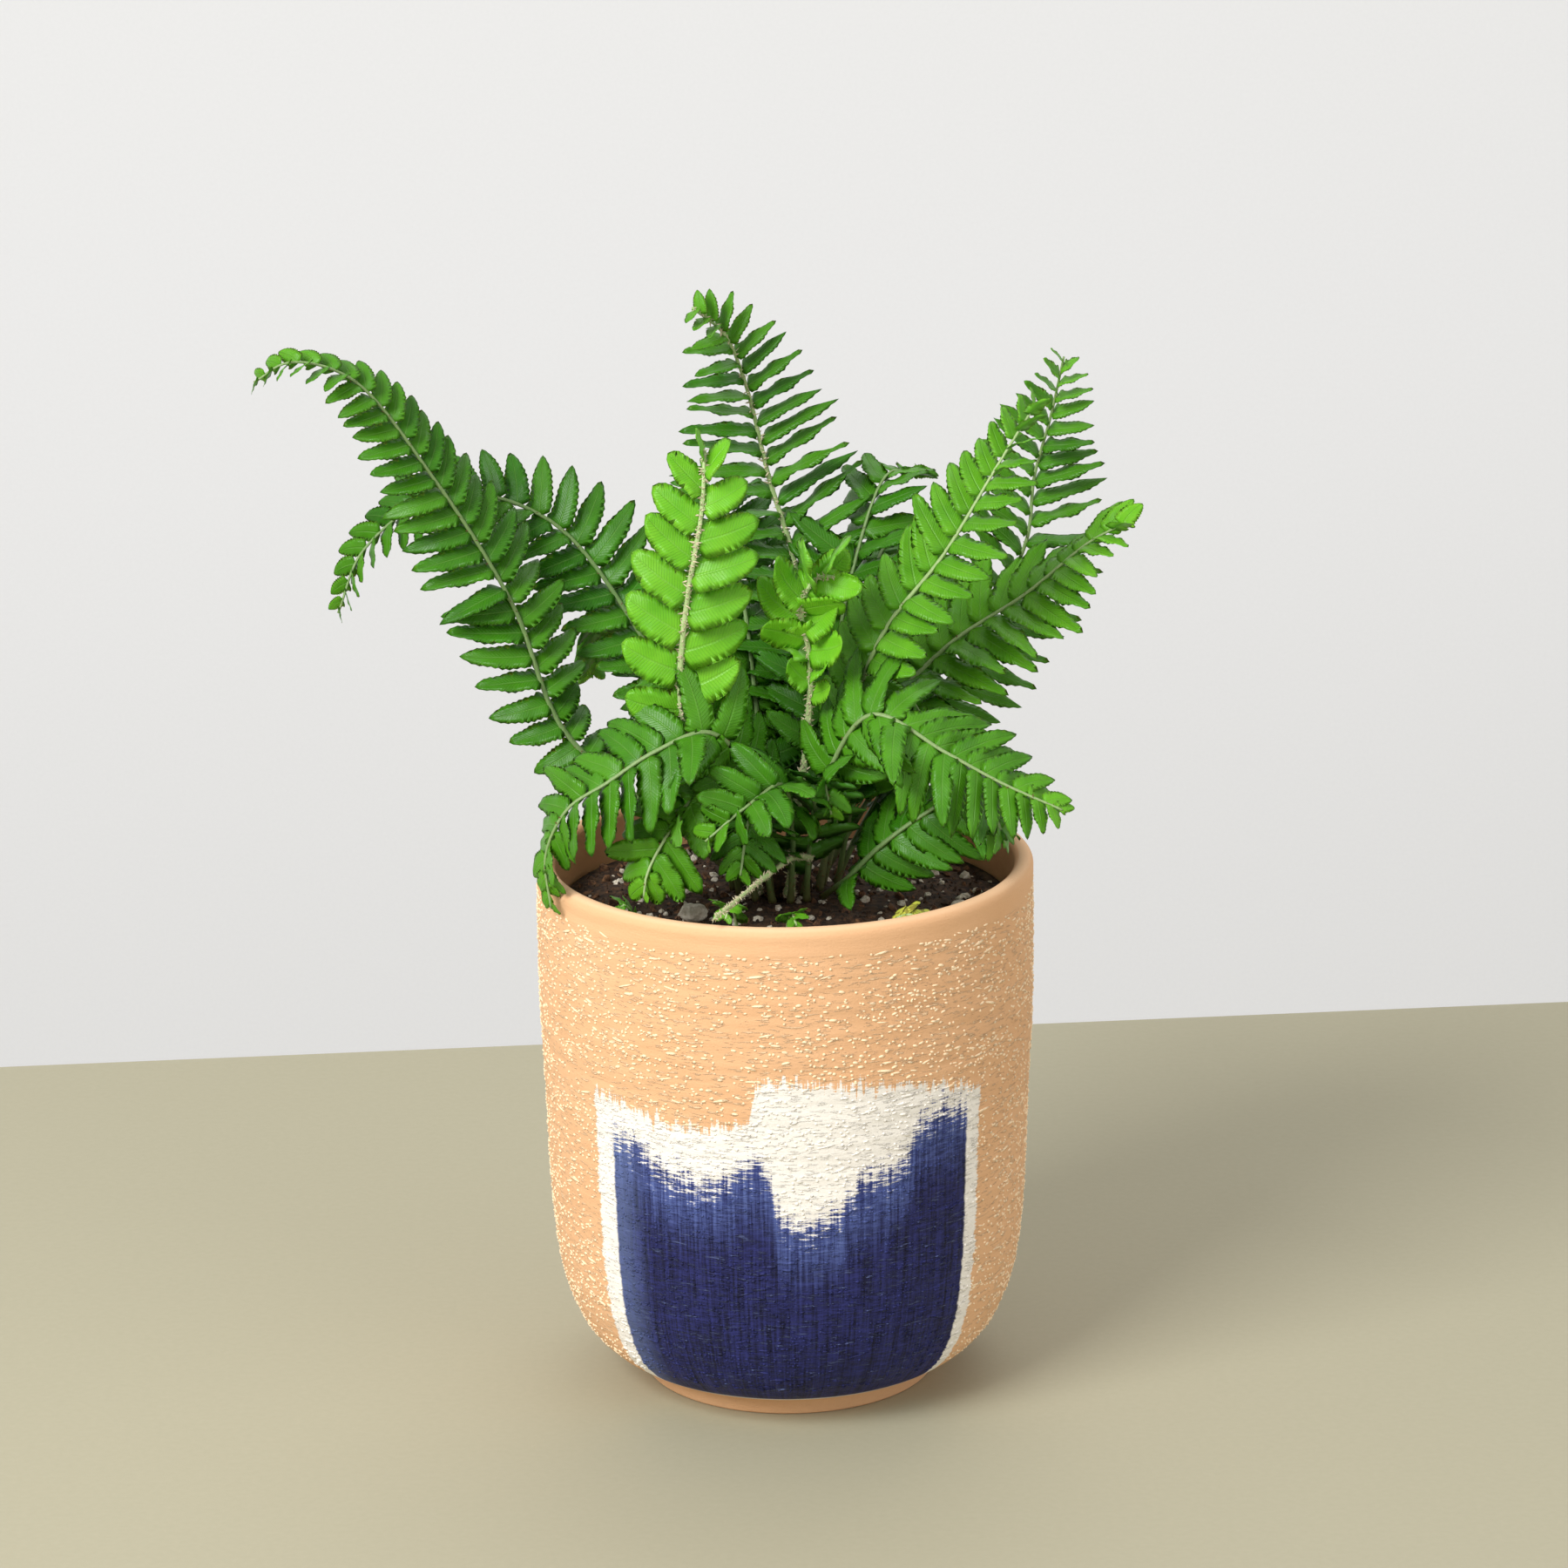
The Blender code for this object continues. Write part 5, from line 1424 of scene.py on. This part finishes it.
def build_fronds():
    fronds = make_fronds()
    solids = [node_tree_of(name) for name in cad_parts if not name.startswith(PLANT_PREFIXES)]
    rachises = [frond.stem_tree() for frond, _ in fronds]
    earlier = []
    for place, (frond, _) in enumerate(fronds):
        frond.grow(solids + rachises[:place] + rachises[place + 1:] + earlier)
        earlier.append(node_tree_of(frond.name))
    for place, (frond, look) in enumerate(fronds):
        draw = random.Random(1000 + place)
        woolly = look.get("woolly", 0.0)
        mesh, feet, shares = frond.tube(woolly)
        fresh = look["youth"] > 0.7
        hairy = 0.22 + 1.8 * woolly
        point_values(mesh, "FLOAT", {
            "scaly": [hairy * (1.0 - 0.55 * share) + 0.9 * foot for share, foot in zip(shares, feet)],
            "foot": [foot * (0.2 if fresh else 1.0) for foot in feet],
            "youth": [min(1.0, look["youth"] + woolly + 0.3 * share) for share in shares]})
        host = add_object(frond.name + " rachis", mesh)
        points = frond.leaflet_points(look, draw)
        yellow = frond.name == "yellowed_frond"
        leaf = YELLOWING if yellow else LIVING
        piece = with_scales(frond.name + "_live", host, points, FRESH_STEM, SILVERY if woolly else DRY,
                            2.4e6, 1.9 if woolly else 1.1, 100 + place, leaf)
        finish_plant(piece, frond.name)


# ---------------------------------------------------------------- floor, light and camera

def build_stage():
    """A pale table whose back edge runs at a slant behind the pot, and a plain pale wall beyond it."""
    far, wide = TABLE_REACH, WALL_REACH
    board = [(x, y, z) for z in (0.0, -TABLE_THICKNESS)
             for x, y in ((-far, -far), (far, -far), (far, TABLE_BACK[1]), (-far, TABLE_BACK[0]))]
    table = mesh_from("table", board,
                      [(0, 1, 2, 3), (7, 6, 5, 4), (0, 4, 5, 1), (1, 5, 6, 2), (2, 6, 7, 3), (3, 7, 4, 0)])
    low, high = -WALL_BEHIND, wide
    wall = mesh_from("wall", [(-wide, WALL_BEHIND, low), (wide, WALL_BEHIND, low), (wide, WALL_BEHIND, high),
                              (-wide, WALL_BEHIND, high)], [(0, 1, 2, 3)])
    for mesh, name, colour, paler, roughness in (
            (table, "matt table board", "#A39E86", "#AAA58D", 0.7),
            (wall, "matt wall paint", "#E9EAEA", "#EDEEEE", 0.9)):
        made, tree = new_material(name)
        where = millimetres(tree)
        speck = add(tree, NOISE, {"Vector": where, "Scale": 0.5, "Detail": 3.0})
        tone = add(tree, MIX, {0: speck, 6: linear(colour), 7: linear(paler)}, **COLOURS)
        shader = add(tree, "ShaderNodeBsdfPrincipled", {"Base Color": tone, "Roughness": roughness})
        add(tree, "ShaderNodeOutputMaterial", shader)
        mesh.materials.append(made)
        add_object(mesh.name, mesh)


def build_light():
    """A broad soft key from the left and front, a weak fill from the right and an even pale sky."""
    for name, place, size, power in (("key", (-1.0, -1.1, 1.25), 0.9, 38.0),
                                     ("fill", (1.6, -1.2, 0.9), 1.6, 9.0),
                                     ("back", (0.3, 1.2, 1.8), 1.2, 8.0)):
        lamp = bpy.data.lights.new(name, "AREA")
        lamp.size = size
        lamp.energy = power
        obj = bpy.data.objects.new(name, lamp)
        obj.location = place
        obj.rotation_euler = (LOOKED_AT - Vector(place)).to_track_quat("-Z", "Y").to_euler()
        bpy.context.scene.collection.objects.link(obj)
    bpy.context.scene.view_settings.view_transform = "Standard"
    world = bpy.data.worlds.new("pale room")
    world.use_nodes = True
    sky = world.node_tree.nodes["Background"]
    sky.inputs[0].default_value = linear("#F6F3F0")
    sky.inputs[1].default_value = SKY_STRENGTH
    bpy.context.scene.world = world


def build_camera():
    """Looks slightly down on the pot from the front, as a person at the table would."""
    ahead = Vector((0.0, math.cos(CAMERA_DOWN), -math.sin(CAMERA_DOWN)))
    right = Vector((1.0, 0.0, 0.0))
    upward = right.cross(ahead)
    turned_right = right * math.cos(CAMERA_ROLL) + upward * math.sin(CAMERA_ROLL)
    turned_up = upward * math.cos(CAMERA_ROLL) - right * math.sin(CAMERA_ROLL)
    lens = bpy.data.cameras.new("camera")
    lens.lens = CAMERA_LENS
    lens.sensor_width = 36.0
    obj = bpy.data.objects.new("camera", lens)
    obj.matrix_world = Matrix((turned_right, turned_up, -ahead)).transposed().to_4x4()
    obj.location = CAMERA_AT
    bpy.context.scene.collection.objects.link(obj)
    bpy.context.scene.camera = obj


LEAF_DRAW = random.Random(5)
LEAF_MESHES = [leaf_shape(f"leaf {oval}{hand}{variant}", bool(hand), bool(oval), LEAF_DRAW)
               for oval in range(2) for hand in range(2) for variant in range(3)]
LEAF_SHAPES = shape_collection("leaflet", LEAF_MESHES)
SCALE_SHAPE = bpy.data.objects.new("scale shape", spindle("scale", 1.0, 0.14))
LEAFLETS = leaflet_tree()
LIVING = living_leaf()
YELLOWING = yellowing_leaf()
FRESH_STEM = fern_stem()
DRY = old_scales()
SILVERY = silvery_scales()

build_camera()
build_stage()
build_light()
build_pot()
build_soil()
build_crown()
build_runner()
build_stones()
build_fronds()
